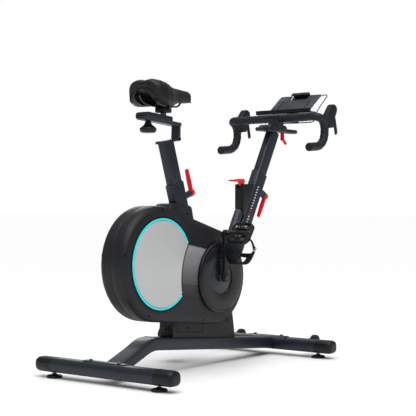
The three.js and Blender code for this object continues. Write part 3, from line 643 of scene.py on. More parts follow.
def screws(name, points, aims, radius, material, body="root", height=1.2):
    sizes = cone_sizes(radius * HEAD_SHARE, radius, height, material)
    return grown(name, points, screw_tree, sizes, body, aims=aims)


print("a screw's head is", HEAD_SHARE, "of its base")


# %% [markdown]
# ## Stabilisers
# Each stabiliser is a steel tube of rounded rectangular section. Plastic caps close the ends, a
# bolted plate joins it to the frame, and round rubber feet screw in from below.

# %% Section, cap and foot
TUBE_WIDTH, TUBE_HEIGHT, TUBE_CORNER = 62, 52, 21
tube_box = [on_bike(corner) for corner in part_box("rear_stabilizer")]
TUBE_HALF, TUBE_MID_Z = tube_box[1].y, (tube_box[0].z + tube_box[1].z) / 2
CAP_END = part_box("rear_cap_left")[1].y * 1000


def tube_section(x, grow=0.0):
    return rounded(TUBE_WIDTH + 2 * grow, TUBE_HEIGHT + 2 * grow, TUBE_CORNER + grow, x, TUBE_MID_Z, 7)


def end_cap(x):
    """The cap domes over the last centimetres, with a small step where it meets the tube."""
    rings = []
    for y, grow in ((TUBE_HALF + 0.3, 0.6), (TUBE_HALF + 3, 1.0), (TUBE_HALF + 4.5, 0.9),
                    (TUBE_HALF + 5.2, 0.2), (TUBE_HALF + 7, 0.2), (CAP_END - 17, 0.2),
                    (CAP_END - 9, -1.4), (CAP_END - 4, -4.5),
                    (CAP_END - 1.2, -9), (CAP_END, -15)):
        rings.append([(u, y, v) for u, v in tube_section(x, grow)])
    return skin(rings)


def levelling_foot(x, y):
    foot_top = TUBE_MID_Z - TUBE_HEIGHT / 2
    pad = lathe([(0, 0), (26.5, 0), (28, 1), (28.6, 3), (28.4, 6.5), (26, 9), (20, 10.8), (10, 11.6),
                 (9, 12), (9, 15.5), (0, 15.5)], (x, y, 0), "z", 56)
    return pad, rod((x, y, 12), (x, y, foot_top), 5.4, 20)


print("tubes end at", TUBE_HALF, "and caps at", CAP_END)

# %% Both stabilisers
bolt_points, bolt_aims = [], []
for end in ("rear", "front"):
    x = on_bike(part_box(f"{end}_foot_right")[0].lerp(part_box(f"{end}_foot_right")[1], 0.5)).x
    inward = 1 if end == "rear" else -1
    body_tube = slab(tube_section(x), -TUBE_HALF, TUBE_HALF)
    if end == "rear":
        piece("rear_tube", body_tube, powder_coat, stands_for=["rear_stabilizer"],
              angle=60)
    else:
        front_x, front_tube_part = x, body_tube
    for side, sign in SIDES:
        piece(f"{end}_end_cap_{side}", on_side(end_cap(x), sign), black_plastic,
              stands_for=[f"{end}_cap_{side}"], angle=50)
        foot_y = on_bike(joint_at[f"{end}_foot_{side}_turn"]).y
        pad, stem = levelling_foot(x, foot_y)
        piece(f"{end}_foot_pad_{side}", pad, rubber, f"{end}_foot_{side}", [f"{end}_foot_{side}"])
        piece(f"{end}_foot_stem_{side}", stem, dark_steel, f"{end}_foot_{side}")
    over = [(u, v) for u, v in tube_section(x, 3.6) if v > TUBE_MID_Z and inward * (u - x) > -14]
    inner_edge = [(x - 13 * inward, TUBE_MID_Z + 27), (x - 13 * inward, TUBE_MID_Z + 2)][::inward]
    plate = slab(softened(over + inner_edge, 1.0, 2), -96, 96, 1.2)
    piece(f"{end}_saddle_plate", plate, powder_coat, stands_for=[f"{end}_mount_plate"])
    for y in (-66, 66):
        bolt_points.append((x, y, TUBE_MID_Z + TUBE_HEIGHT / 2 + 5.2))
        bolt_aims.append((0, 0, 1))
screws("plate_bolts", bolt_points, bolt_aims, 7.5, dark_steel, height=3.4)

# %% Transport wheels on forked brackets
FORK_HALF = 14.5
wheel_x, _, wheel_z = on_bike(joint_at["transport_wheel_right_roll"])
forks = [front_tube_part]
for side, sign in SIDES:
    y = on_bike(joint_at[f"transport_wheel_{side}_roll"]).y
    for lean in (-1, 1):
        cheek = y + lean * FORK_HALF
        outline = [(front_x + 24, 37), (wheel_x + 4, 49), (wheel_x + 10, 58), (wheel_x + 6, 70),
                   (wheel_x - 8, 71), (front_x + 24, 66)]
        forks.append(slab(softened(outline, 9), cheek - 2, cheek + 2, 0.6, 2))
    forks.append(rod((wheel_x, y - 17.5, wheel_z), (wheel_x, y + 17.5, wheel_z), 4.6))
    tyre = lathe([(5.2, -11), (13, -11), (14, -9), (19, -9), (21.5, -10.6), (23, -8), (23, 8),
                  (21.5, 10.6), (19, 9), (14, 9), (13, 11), (5.2, 11)], (wheel_x, y, wheel_z), "y", 56)
    piece(f"roller_{side}", tyre, rubber, f"transport_wheel_{side}", [f"transport_wheel_{side}"])
piece("front_tube_and_forks", together(*forks), powder_coat, stands_for=["front_stabilizer"])

# %% [markdown]
# ## Beam and rear leg
# One welded steel tube runs from stabiliser to stabiliser. It is straight under the casing and
# arches down at the back. Its corners are rolled, so the outline gets a wide rounded edge.

# %% Beam and rear leg
BEAM_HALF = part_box("main_beam")[1].y * 1000
BEAM_START, BEAM_END, BEAM_DEPTH = 250, 979.5, 46
BEAM_HIGH, BEAM_LOW = 139, 72.5


def beam_top(x):
    return BEAM_HIGH + (BEAM_LOW - BEAM_HIGH) * (x - BEAM_START) / (BEAM_END - BEAM_START)


beam_outline = [(BEAM_START + 0.3, beam_top(BEAM_START)), (BEAM_END, beam_top(BEAM_END)),
                (BEAM_END, beam_top(BEAM_END) - BEAM_DEPTH),
                (BEAM_START + 0.3, beam_top(BEAM_START) - BEAM_DEPTH)]
leg_outline = [(32, 22.7), (32, 63), (139, 106)]
leg_outline += bezier((139, 106), (178, 122), (205, 143.2), (BEAM_START, BEAM_HIGH), 18)[1:]
leg_outline += bezier((BEAM_START, BEAM_HIGH - BEAM_DEPTH), (220, 95.7), (192, 86), (168, 75), 14)


def rolled_tube(outline, half, corner):
    """A slab whose long edges are rolled, while its open ends stay square."""
    made = slab(outline, -half, half)
    ends = {round(outline[0][0], 1), round(max(p[0] for p in outline), 1)}
    edges = [e for e in made.edges if abs(e.verts[0].co.y - e.verts[1].co.y) < 1e-3
             and not (abs(e.verts[0].co.x - e.verts[1].co.x) < 1e-3
                      and round(e.verts[0].co.x, 1) in ends)]
    bmesh.ops.bevel(made, geom=edges, offset=corner, segments=5, profile=0.5, affect="EDGES",
                    clamp_overlap=True)
    return made


piece("long_beam", rolled_tube(beam_outline, BEAM_HALF, 8), powder_coat, stands_for=["main_beam"])
piece("arched_leg", rolled_tube(leg_outline, BEAM_HALF, 8), powder_coat, stands_for=["rear_leg"])
weld = [(BEAM_START, y, beam_top(BEAM_START) + 0.2) for y in range(-32, 33, 8)]
piece("beam_weld", tube(weld, 1.6, 8, 2), powder_coat)

# %% [markdown]
# ## Casing
# Two moulded halves meet on the middle plane. Their outline hugs two circles, the drum's and the
# crank's, joined by straight tangents. A main shape that follows such a rule is built from rings:
# the same outline, shrunk step by step as it rounds over from the rim to the flat side.

# %% Casing halves
DRUM_RADIUS, CRANK_RADIUS = 211, 182
SIDE_Y, ROUND_OVER = 60.5, 33


def casing_outline(shrink, steps=72):
    a, b = DRUM_RADIUS - shrink, CRANK_RADIUS - shrink
    gap = CRANK - DRUM
    slope = math.degrees(math.atan2(gap.z, gap.x))
    open_by = math.degrees(math.acos((a - b) / math.hypot(gap.x, gap.z)))
    made = arc(DRUM.x, DRUM.z, a, slope + open_by, slope - open_by + 360, steps)
    return made + arc(CRANK.x, CRANK.z, b, slope - open_by, slope + open_by, steps)


rim_profile = [(1.1, 0.15), (0.2, 1.0), (0, 1.6), (0, 17), (0, 26.5), (1.1, 27.3), (1.1, 28.1),
               (0.4, 28.9)]
for i in range(13):
    t = math.radians(90 * i / 12)
    rim_profile.append((0.4 + (ROUND_OVER - 0.4) * (1 - math.cos(t)) ** 1.15,
                        29.5 + (SIDE_Y - 29.5) * math.sin(t) ** 0.92))
for side, sign in SIDES:
    rings = [[(u, y, v) for u, v in casing_outline(shrink)] for shrink, y in rim_profile]
    half = skin(rings, ends=False)
    last = [e for e in half.edges if e.is_boundary and abs(e.verts[0].co.y - SIDE_Y) < 1e-3]
    bmesh.ops.contextual_create(half, geom=last)
    first = [e for e in half.edges if e.is_boundary]
    bmesh.ops.contextual_create(half, geom=first)
    bmesh.ops.recalc_face_normals(half, faces=half.faces)
    piece(f"casing_half_{side}", on_side(half, sign), shell_plastic, stands_for=[f"casing_{side}"])

# %% [markdown]
# ## Side panels
# A silver disc sits inside the lit ring. A dark band that runs round the crank cuts both on the
# front, and a printed film fills the space between that band and the round crank cover.

# %% Circles cut by the crank's band
RING_OUT, RING_IN, BAND_RADIUS, COVER_RADIUS = 166.3, 158.5, 237, 136
panel_out = FACE_Y
panel_in = panel_out - 3.2


def cut_circle(radius, band=BAND_RADIUS, steps=160):
    """Angles about the drum, in degrees, between which a circle is clear of the crank's band."""
    gap = CRANK - DRUM
    distance = math.hypot(gap.x, gap.z)
    slope = math.degrees(math.atan2(gap.z, gap.x))
    open_by = math.degrees(math.acos((radius ** 2 + distance ** 2 - band ** 2) / (2 * radius * distance)))
    return slope + open_by, slope + 360 - open_by


def about_crank(point):
    """The direction of a point from the crank's axis, in degrees."""
    return math.degrees(math.atan2(point[1] - CRANK.z, point[0] - CRANK.x)) % 360


def clipped_disc(radius):
    start, end = cut_circle(radius)
    rim = arc(DRUM.x, DRUM.z, radius, start, end, 150)
    first, last = (about_crank(p) for p in (rim[-1], rim[0]))
    return rim + arc(CRANK.x, CRANK.z, BAND_RADIUS, first, last, 50)[1:-1]


def ring_section(half_width, low, high, crown):
    return [(-half_width, low), (-half_width, high), (-half_width * 0.5, high + crown),
            (0, high + crown * 1.3), (half_width * 0.5, high + crown), (half_width, high),
            (half_width, low)]


def arc_strip(radius, section, start, end, steps=150):
    """A strip round the drum: its section is (outward from the axis, out from the side)."""
    rings = []
    for i in range(steps + 1):
        t = math.radians(start + (end - start) * i / steps)
        rings.append([(DRUM.x + (radius + u) * math.cos(t), out, DRUM.z + (radius + u) * math.sin(t))
                      for u, out in section])
    return skin(rings)


print("the ring is cut at", cut_circle(RING_OUT))

# %% Ring, painted shade of the bezel groove, disc
for side, sign in SIDES:
    start, end = cut_circle(RING_OUT)
    middle = (RING_OUT + RING_IN) / 2
    glow = arc_strip(middle, ring_section((RING_OUT - RING_IN) / 2 - 0.8, panel_in, panel_out - 0.9, 0.5),
                     start, end)
    piece(f"glow_ring_{side}", on_side(glow, sign), light_guide, stands_for=[f"led_ring_{side}"])
    # The bezel groove round the ring is not cut: a near-black strip lies there as painted shade.
    groove_shade_strip = arc_strip(RING_OUT + 3.4, ring_section(3.4, SIDE_Y - 1, SIDE_Y + 0.7, 0.3), start - 1,
                      end + 1)
    piece(f"bezel_groove_shade_{side}", on_side(groove_shade_strip, sign), black_and_groove_shade)
    rim_lip = arc_strip(RING_OUT + 8.2, ring_section(1.3, SIDE_Y - 1, SIDE_Y + 0.5, 0.3), start - 1,
                        end + 1)
    piece(f"bezel_lip_{side}", on_side(rim_lip, sign), satin_black)
    disc = slab(clipped_disc(RING_IN - 0.9), panel_in, panel_out, 1.2)
    piece(f"silver_disc_{side}", on_side(disc, sign), silver_lacquer, stands_for=[f"side_disc_{side}"])

# %% Outline of the printed film
TOP_EDGE, BOTTOM_EDGE = ((330, 485), (545, 446)), ((330, 289), (545, 260))


def meets_circle(line, radius):
    """The point, nearest the drum, where a line crosses a circle about the crank."""
    a, b = Vector(line[0]), Vector(line[1])
    run = (b - a).normalized()
    off = a - Vector((CRANK.x, CRANK.z))
    half = off.dot(run)
    return a + run * (-half - math.sqrt(half * half - off.length_squared + radius * radius))


OUTER_FILM, INNER_FILM = BAND_RADIUS - 4, COVER_RADIUS + 0.6
corners = [meets_circle(TOP_EDGE, OUTER_FILM), meets_circle(BOTTOM_EDGE, OUTER_FILM),
           meets_circle(BOTTOM_EDGE, INNER_FILM), meets_circle(TOP_EDGE, INNER_FILM)]
film_outline = arc(CRANK.x, CRANK.z, OUTER_FILM, about_crank(corners[0]), about_crank(corners[1]), 40)
film_outline += arc(CRANK.x, CRANK.z, INNER_FILM, about_crank(corners[2]), about_crank(corners[3]), 40)


def above(line, x, z):
    (x0, z0), (x1, z1) = line
    return z - (z0 + (z1 - z0) * (x - x0) / (x1 - x0))


scale_tree = cones_on_points("film_scales", 4)
SCALE_ROWS, SCALE_COLUMNS, SCALE_STEP, SCALE_RISE = 60, 34, 5.0, 3.6
print("film corners", [tuple(round(v) for v in corner) for corner in corners])
band = arc(CRANK.x, CRANK.z, BAND_RADIUS + 0.4, about_crank(corners[0]), about_crank(corners[1]), 40)
band += arc(CRANK.x, CRANK.z, OUTER_FILM - 0.6, about_crank(corners[1]), about_crank(corners[0]), 40)

# %% Film, dark band and raised scales
for side, sign in SIDES:
    film = slab(film_outline, panel_in, panel_out - 0.6, 0.4, 1)
    piece(f"dark_band_{side}", on_side(slab(band, SIDE_Y - 0.2, panel_in + 1.2), sign), black_and_groove_shade)
    piece(f"printed_film_{side}", on_side(film, sign), panel_film, stands_for=[f"mesh_panel_{side}"])
    where = []
    for row in range(SCALE_ROWS):
        for column in range(SCALE_COLUMNS):
            x = 345 + column * SCALE_STEP + (row % 2) * SCALE_STEP / 2
            z = 262 + row * SCALE_RISE
            reach = math.hypot(x - CRANK.x, z - CRANK.z)
            printed = INNER_FILM + 4 < reach < OUTER_FILM - 4
            if printed and above(TOP_EDGE, x, z) < -4 and above(BOTTOM_EDGE, x, z) > 45:
                where.append((x, sign * (panel_out - 0.45), z))
    grown(f"film_scales_{side}", where, scale_tree,
          cone_sizes(0.6, 2.1, 0.5, scale_film), aims=[(0, sign, 0)] * len(where))

# %% Crank covers
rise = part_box("crank_cover_left")[1].y * 1000 - 1.5
for side, sign in SIDES:
    cover = lathe([(25, SIDE_Y + 0.3), (COVER_RADIUS, SIDE_Y + 0.3), (COVER_RADIUS, rise - 5.5),
                   (COVER_RADIUS - 0.8, rise - 3.6), (COVER_RADIUS - 3, rise - 1.6),
                   (COVER_RADIUS - 7, rise - 0.2),
                   (COVER_RADIUS - 9.4, rise + 0.1), (COVER_RADIUS - 10, rise - 0.7),
                   (COVER_RADIUS - 10.8, rise - 0.7),
                   (COVER_RADIUS - 11.4, rise + 0.5), (COVER_RADIUS - 16, rise + 1.1), (100, rise + 1.4),
                   (67, rise + 1.4), (65, rise + 0.9), (64, rise - 0.6), (63.2, rise - 3.2),
                   (25, rise - 3.2)],
                  (CRANK.x, 0, CRANK.z), "y", 128)
    piece(f"round_cover_{side}", on_side(cover, sign), satin_black, stands_for=[f"crank_cover_{side}"])
    dish = lathe([(24.5, rise - 6), (62.8, rise - 6), (62.8, rise - 2.7), (60, rise - 2.3),
                  (36, rise - 2.6), (30, rise - 1.0), (24.5, rise - 0.8)], (CRANK.x, 0, CRANK.z), "y", 96)
    piece(f"cover_dish_{side}", on_side(dish, sign), recess_black)

# %% [markdown]
# ## Pedestal and inlet
# A plastic cover hides the feet of the inner frame. An access panel is scribed into each side, its
# seam drawn as a thin near-black strip of painted shade; a few screws hold it, and the power inlet is
# sunk in its rear face.

# %% Pedestal cover
PEDESTAL_HALF = 34
pedestal_outline = [(333, beam_top(333) + 0.3), (725, beam_top(725) + 0.3), (703, 230), (338, 230)]
pedestal = piece("pedestal_shell",
                 slab(softened(pedestal_outline, 3, 2), -PEDESTAL_HALF, PEDESTAL_HALF, 4),
                 shell_plastic, stands_for=["pedestal_cover"])
boolean(pedestal, slab(casing_outline(0.4), -41.6, 41.6))
boolean(pedestal, slab([(323, 149), (334, 149), (334, 173), (323, 173)], -14, 14))
pedestal_screws, pedestal_aims = [], []
for side, sign in SIDES:
    panel = softened([(352, 150), (352, 186), (493, 186), (510, 172), (516, 136)], 9, 5)
    edge = [Vector((x, sign * (PEDESTAL_HALF + 0.1), z)) for x, z in [*panel, panel[0]]]
    # The seam is a thin near-black strip on the surface, painted shade of a scribed groove.
    seam = sweep(edge, [(-0.9, -0.5), (-0.9, 0.5), (0.9, 0.5), (0.9, -0.5)], (0, 1, 0))
    piece(f"access_seam_shade_{side}", seam, black_and_groove_shade)
    for x, z in ((420, 159), (672, 168)):
        pedestal_screws.append((x, sign * (PEDESTAL_HALF + 0.3), z))
        pedestal_aims.append((0, sign, 0))
screws("pedestal_screws", pedestal_screws, pedestal_aims, 6.0, black_and_groove_shade, height=0.8)
inlet = [slab(rounded(23, 16, 3, 0, 161, 3), 332.6, 349, 0.5, 1, "x"),
         slab(rounded(27.5, 21.4, 3, 0, 161, 3), 331.2, 332.8, 0.5, 1, "x"),
         rod((327.5, 0, 161), (334, 0, 161), 6, 24)]
piece("inlet_body", together(*inlet), black_plastic, stands_for=["power_inlet"])
piece("inlet_socket", rod((327.1, 0, 161), (328.4, 0, 161), 3.6, 20, edge=0.2), black_and_groove_shade)

# %% Screws sunk in the casing's sides
casing_screws, casing_aims = [], []
for side, sign in SIDES:
    shell = bpy.data.objects[f"casing_half_{side}"]
    for x, z in ((43, 445), (247, 604), (169, 224), (491, 186), (599, 506)):
        hit, where, aim, *_ = shell.ray_cast(in_frame(x, sign * 90, z), Vector((0, -sign, 0)))
        if hit:
            casing_screws.append(tuple(on_bike(where) - aim * 0.4))
            casing_aims.append(tuple(aim))
screws("casing_screws", casing_screws, casing_aims, 6.0, black_and_groove_shade, height=1.0)
print("casing screws", len(casing_screws))

# %% [markdown]
# ## Tubes that hold the posts
# Two rounded rectangular tubes lean away from each other. The saddle's comes up through a plastic
# cover on the casing. Each is bored for its post, has a thin steel lip at its mouth and carries a
# boss for its red clamp lever. A tube is drawn upright, then turned about a point on its axis.


# %% Leaning tubes
def leaning_tube(section, corner, lean, foot, low, high):
    """A tube whose ends are square to its own axis: foot is a point on the axis."""
    slope = math.cos(math.radians(lean))
    outline = rounded(section[0], section[1], corner, 0, 0, 6)
    made = slab(outline, (low - foot[2]) / slope, (high - foot[2]) / slope, 1.0, 2, "z")
    turned(made, "Y", lean)
    made.transform(Matrix.Translation(foot))
    return made


SEAT_LEAN, BAR_LEAN = -18.5, 29.5
SEAT_FOOT, SEAT_TOP = (397, 0, 658), 701
BAR_FOOT, BAR_TOP = (1002, 0, 852), 752
seat_aim = Vector((math.cos(math.radians(SEAT_LEAN)), 0, -math.sin(math.radians(SEAT_LEAN))))
bar_aim = Vector((math.cos(math.radians(BAR_LEAN)), 0, -math.sin(math.radians(BAR_LEAN))))
seat_up = Vector((math.sin(math.radians(SEAT_LEAN)), 0, math.cos(math.radians(SEAT_LEAN))))
bar_up = Vector((math.sin(math.radians(BAR_LEAN)), 0, math.cos(math.radians(BAR_LEAN))))
seat_boss = on_bike(joint_at["seat_lever_turn"])
bar_boss = on_bike(joint_at["bar_lever_turn"])


def lip(section, corner, lean, foot, top):
    """A thin turned-out edge at the tube's mouth."""
    return leaning_tube((section[0] + 1.2, section[1] + 1.2), corner + 0.5, lean, foot, top - 1.6,
                        top + 0.6)


print("saddle tube leans", SEAT_LEAN, "and handlebar tube", BAR_LEAN, "degrees")

# %% Tubes, bosses and bores
SEAT_TUBE, BAR_TUBE = (70, 44), (64, 44)
SEAT_BORE, BAR_BORE = (63.4, 39.6), (57, 37)
CASING_HOLE, COVER_HOLE = (69, 43), (72.5, 46)
SEAT_BOSS_LONG, BAR_BOSS_LONG = 45, 41
seat_hull = leaning_tube(SEAT_TUBE, 11, SEAT_LEAN, SEAT_FOOT, 440, SEAT_TOP)
piece("saddle_tube_boss", rod(seat_boss - seat_aim * SEAT_BOSS_LONG, seat_boss, 13, 28), powder_coat)
seat_tube = piece("saddle_tube", seat_hull, powder_coat, stands_for=["seat_tube"])
seat_lip = piece("saddle_tube_lip", lip(SEAT_TUBE, 11, SEAT_LEAN, SEAT_FOOT, SEAT_TOP), dark_steel)
for hollowed in (seat_tube, seat_lip):
    boolean(hollowed, leaning_tube(SEAT_BORE, 10, SEAT_LEAN, SEAT_FOOT, 450, 800))
for side, sign in SIDES:
    boolean(bpy.data.objects[f"casing_half_{side}"],
            leaning_tube(CASING_HOLE, 10, SEAT_LEAN, SEAT_FOOT, 460, 760))
bar_hull = leaning_tube(BAR_TUBE, 10, BAR_LEAN, BAR_FOOT, 330, BAR_TOP)
piece("handlebar_tube_boss", rod(bar_boss - bar_aim * BAR_BOSS_LONG, bar_boss, 14, 28), powder_coat)
front_tube = piece("handlebar_tube", bar_hull, powder_coat, stands_for=["front_tube"])
front_lip = piece("handlebar_tube_lip", lip(BAR_TUBE, 10, BAR_LEAN, BAR_FOOT, BAR_TOP), dark_steel)
for hollowed in (front_tube, front_lip):
    boolean(hollowed, leaning_tube(BAR_BORE, 8, BAR_LEAN, BAR_FOOT, 480, 860))
print("tubes bored", SEAT_TUBE, BAR_TUBE)

# %% Printed marks on the front tube: a plain row of bars, two of them red
MARK_COUNT, MARK_STEP, FIRST_MARK, RED_MARKS = 14, 12.5, -186, (9, 10)
for side, sign in SIDES:
    white, red = [], []
    for i in range(MARK_COUNT):
        along_tube = FIRST_MARK - i * MARK_STEP
        middle = Vector(BAR_FOOT) + bar_up * along_tube - bar_aim * 7
        spot = red if i in RED_MARKS else white
        mark = slab(softened([(-4.2, -3.2), (4.2, -1.2), (4.2, 4.4), (-4.2, 2.4)], 1), 21.8, 22.15)
        turned(mark, "Y", BAR_LEAN)
        mark.transform(Matrix.Translation((middle.x, 0, middle.z)))
        spot.append(on_side(mark, sign))
    piece(f"tube_marks_white_{side}", together(*white), white_print)
    piece(f"tube_marks_red_{side}", together(*red), red_print)

# %% Cover round the saddle tube
cover_outline = [(296, 590), (322, 622)] + bezier((322, 622), (334, 627), (345, 628), (356, 627), 6)[1:]
cover_outline += [(424, 619), *bezier((424, 619), (436, 617), (441, 612), (443, 604), 6)[1:], (462, 530)]
tube_cover = piece("tube_cover", slab(cover_outline, -40, 40, 6, 4), shell_plastic,
                   stands_for=["seat_tube_cover"])
boolean(tube_cover, leaning_tube(COVER_HOLE, 11, SEAT_LEAN, SEAT_FOOT, 400, 760))
screws("tube_cover_screws", [(412, -40.2, 589), (412, 40.2, 589)], [(0, -1, 0), (0, 1, 0)], 4.2,
       black_and_groove_shade, height=0.8)

# %% [markdown]
# ## Resistance control
# A paddle on top of a black housing presses a brake on the flywheel. The housing is clamped to a
# pale support tube with a domed end, which runs down into the casing beside the front tube.

# %% Support tube
SUPPORT_Z, SUPPORT_GAP, SUPPORT_RADIUS = 460, 50.8, 18


def bar_axis_x(z):
    """Where the handlebar tube's axis is at a height."""
    return BAR_FOOT[0] + math.tan(math.radians(BAR_LEAN)) * (z - BAR_FOOT[2])


support = Vector((bar_axis_x(SUPPORT_Z) - SUPPORT_GAP / math.cos(math.radians(BAR_LEAN)), 0, SUPPORT_Z))
rod_part = lathe([(0, 0), (SUPPORT_RADIUS, 0), (SUPPORT_RADIUS, 150), (17.3, 154), (15.6, 157.8),
                  (12.6, 160.8), (8.4, 163), (4, 164.2), (0, 164.5)], (0, 0, 0), "z", 40)
turned(rod_part, "Y", BAR_LEAN)
rod_part.transform(Matrix.Translation(support))
piece("domed_support", rod_part, pale_tube, stands_for=["support_tube"], angle=50)

# %% Housing and paddle
BOX_HALF, BOX_GAP, BOX_LOW, BOX_TOP = 21, 37.6, 572, 706
housing_outline = softened([(799, BOX_TOP), (bar_axis_x(BOX_TOP) - BOX_GAP, BOX_TOP),
                            (bar_axis_x(BOX_LOW) - BOX_GAP, BOX_LOW), (799, BOX_LOW)], 7)
housing = piece("brake_box", slab(housing_outline, -BOX_HALF, BOX_HALF, 3), black_plastic,
                stands_for=["brake_housing"])
boolean(housing, slab([(790, 690), (835, 690), (835, 730), (790, 730)], -8.4, 8.4))
both_sides = [(0, -1, 0), (0, 1, 0)]
screws("brake_box_screws",
       [(x, aim[1] * (BOX_HALF + 0.1), z) for x, z in ((822, 688), (838, 622)) for aim in both_sides],
       both_sides * 2, 2.6, black_and_groove_shade, height=0.6)
paddle_at = on_bike(joint_at["stop_paddle_press"])
paddle = [rod((paddle_at.x, -7.6, paddle_at.z), (paddle_at.x, 7.6, paddle_at.z), 8, 28),
          slab(softened([(806, 698), (818, 698), (832, 716), (826, 727), (800, 727), (752, 722),
                         (750, 715), (800, 715)], 3), -7.8, 7.8, 0.8, 2),
          slab(softened([(749, -20), (794, -20), (794, 20), (749, 20)], 8), 716.4, 722.4, 2, 3, "z")]
piece("push_paddle", together(*paddle), paddle_red, "stop_paddle", ["stop_paddle"])


# %% [markdown]
# ## Clamp levers
# Each red lever is one moulding: a hub that turns on the boss and a handle with a sunk window. The
# window is not cut: a thin near-black plate on the handle's face is painted shade.
# The handle is drawn lying on x, then turned with the boss so that it follows its tube.

# %% Red levers
def clamp_lever(boss, aim, handle_turn, length, name, body):
    hub = lathe([(0, 0.4), (13.2, 0.4), (14, 1.4), (14, 15.5), (12.6, 18), (8.5, 20), (0, 20.4)],
                (0, 0, 0), "x", 40)
    outline = softened([(-8, -6), (-9.4, length * 0.45), (-7, length - 3), (0, length + 1.5),
                        (7, length - 3), (9.4, length * 0.45), (8, -6)], 6, 5)
    blade = slab(outline, 5, 15.5, 3, 4, "x")
    # The sunk window is not cut: a thin near-black plate on the handle's face is painted shade.
    window = slab(rounded(9, length * 0.42, 4, 0, length * 0.60, 5), 15.2, 15.9, 0.2, 1, "x")
    lean = math.degrees(math.atan2(aim.z, aim.x))
    made = []
    for part, paint, tag in ((together(hub, blade), lever_red, "lever"),
                             (window, black_and_groove_shade, "window_shade")):
        turned(part, "X", handle_turn)
        turned(part, "Y", -lean)
        part.transform(Matrix.Translation(boss))
        made.append(piece(f"{name}_{tag}", part, paint, body, [body] if tag == "lever" else ()))
    cap = lathe([(0, 20), (5, 20), (5, 21.4), (3.6, 21.9), (0, 21.9)], (0, 0, 0), "x", 24)
    turned(cap, "Y", -lean)
    cap.transform(Matrix.Translation(boss))
    piece(f"{name}_lever_pin", cap, dark_steel, body)


clamp_lever(seat_boss, seat_aim, 0, 94, "saddle_post", "seat_lever")
clamp_lever(bar_boss, bar_aim, 180, 98, "bar_post", "bar_lever")

# %% [markdown]
# ## Saddle post and carriage
# The post ends in a plate and a short web that lift a rail above it. The saddle's carriage rides
# on that rail, and a big round knob under the rail locks it.

# %% Post, bracket and rail
SEAT_POST, BAR_POST, POST_TOP = (61, 37), (56, 36), 855
post = leaning_tube(SEAT_POST, 10, SEAT_LEAN, SEAT_FOOT, 600, POST_TOP)
bracket_plate = slab(softened([(-2, 0), (108, 0), (108, 11), (-2, 11)], 2), -18, 18, 1.2)
turned(bracket_plate, "Y", -10.6)
bracket_plate.transform(Matrix.Translation((296, 0, 843)))
web = slab(softened([(384, 858), (398, 862), (399, 922), (388, 922)], 2), -18, 18, 1.2)
RAIL_TILT, RAIL_AT = 4, (396, 0, 921)


def on_rail(part):
    turned(part, "Y", RAIL_TILT)
    part.transform(Matrix.Translation(RAIL_AT))
    return part


rail = on_rail(slab(rounded(214, 15, 6, -100, 0, 5), -20, 20, 2.5))
piece("saddle_post_and_rail", together(post, bracket_plate, web, rail), powder_coat, "seat_post",
      ["seat_post"])
# The post's grooves are thin near-black lines laid on its faces: painted shade, not cut grooves.
groove_shade_lines = []
for off, sign, reach in [(-7, 0, 190), (7, 0, 190), (-8, -1, 188), (8, -1, 188), (-8, 1, 188),
                         (8, 1, 188)]:
    aside = seat_aim * (off if sign else 30.3)
    low = Vector(SEAT_FOOT) + seat_up * 45 + aside
    high = Vector(SEAT_FOOT) + seat_up * reach + aside
    y = sign * 18.3 if sign else off
    middle = low.lerp(high, 0.5)
    groove_shade_lines.append(tube([(p.x, y, p.z) for p in (low, middle, high)], 0.8, 8, 2))
piece("saddle_post_groove_shade", together(*groove_shade_lines), black_and_groove_shade, "seat_post")

# %% Carriage, knob, clamp
carriage_outline = softened([(-206, -3), (-206, 16), (-196, 22), (-60, 22), (-54, 18), (-54, -3)], 4)
carriage = piece("saddle_carriage", on_rail(slab(carriage_outline, -26, 26, 2)), powder_coat,
                 "seat_carriage", ["seat_carriage"])
boolean(carriage, on_rail(slab([(-240, -20), (40, -20), (40, 7.9), (-240, 7.9)], -20.4, 20.4)))
piece("saddle_stem", rod((318, 0, 936), (318, 0, 969), 11, 32), dark_steel, "seat_carriage")
knob = lathe([(0, -51), (14, -50.8), (22, -50), (26.5, -48), (29.4, -44.5), (30.8, -41), (31, -37),
              (30.6, -34), (29, -31.4), (24, -27.6), (18, -22.6), (13.6, -18), (11.8, -13), (11, -10),
              (10.8, -8.4), (0, -8.4)],
             (231, 0, 932), "z", 72)
piece("round_knob", knob, satin_black, "seat_knob", ["seat_knob"], angle=50)
SADDLE_RAIL = [(222, 34, 1020), (235, 34, 1002), (262, 26, 988), (318, 22, 984), (372, 21, 986),
               (404, 12, 1002), (424, 5, 1012)]
clamp_outline = softened([(295, 960), (341, 960), (341, 972), (334, 993), (302, 993), (295, 972)], 5)
clamp = [slab(clamp_outline, -22, 22, 2.5),
         slab(softened([(301, 990), (335, 990), (331, 998), (305, 998)], 3), -27, 27, 1.5)]
piece("saddle_clamp_body", together(*clamp), black_plastic, "saddle", ["saddle_clamp"])
steel_parts = [tube([(x, sign * y, z) for x, y, z in SADDLE_RAIL], 3.6, 16, 8) for sign in (-1, 1)]
steel_parts += [rod((318, -31, 978), (318, 31, 978), 5, 20), rod((318, -35, 978), (318, -28, 978), 8, 6),
                rod((318, 28, 978), (318, 35, 978), 8, 6)]
piece("saddle_rails", together(*steel_parts), dark_steel, "saddle")

# %% [markdown]
# ## Saddle
# Foam under a stretched cover, on a stiff plastic base. The foam is a closed pad: a lofted shape is
# remeshed, inflated a little as cloth under pressure so that it crowns, and then the centre channel
# and the cover's seams are pressed into it. The base below stays a plain moulding.

# %% Saddle stations
SADDLE_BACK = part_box("saddle")[0].x * 1000 - REAR_X * 1000
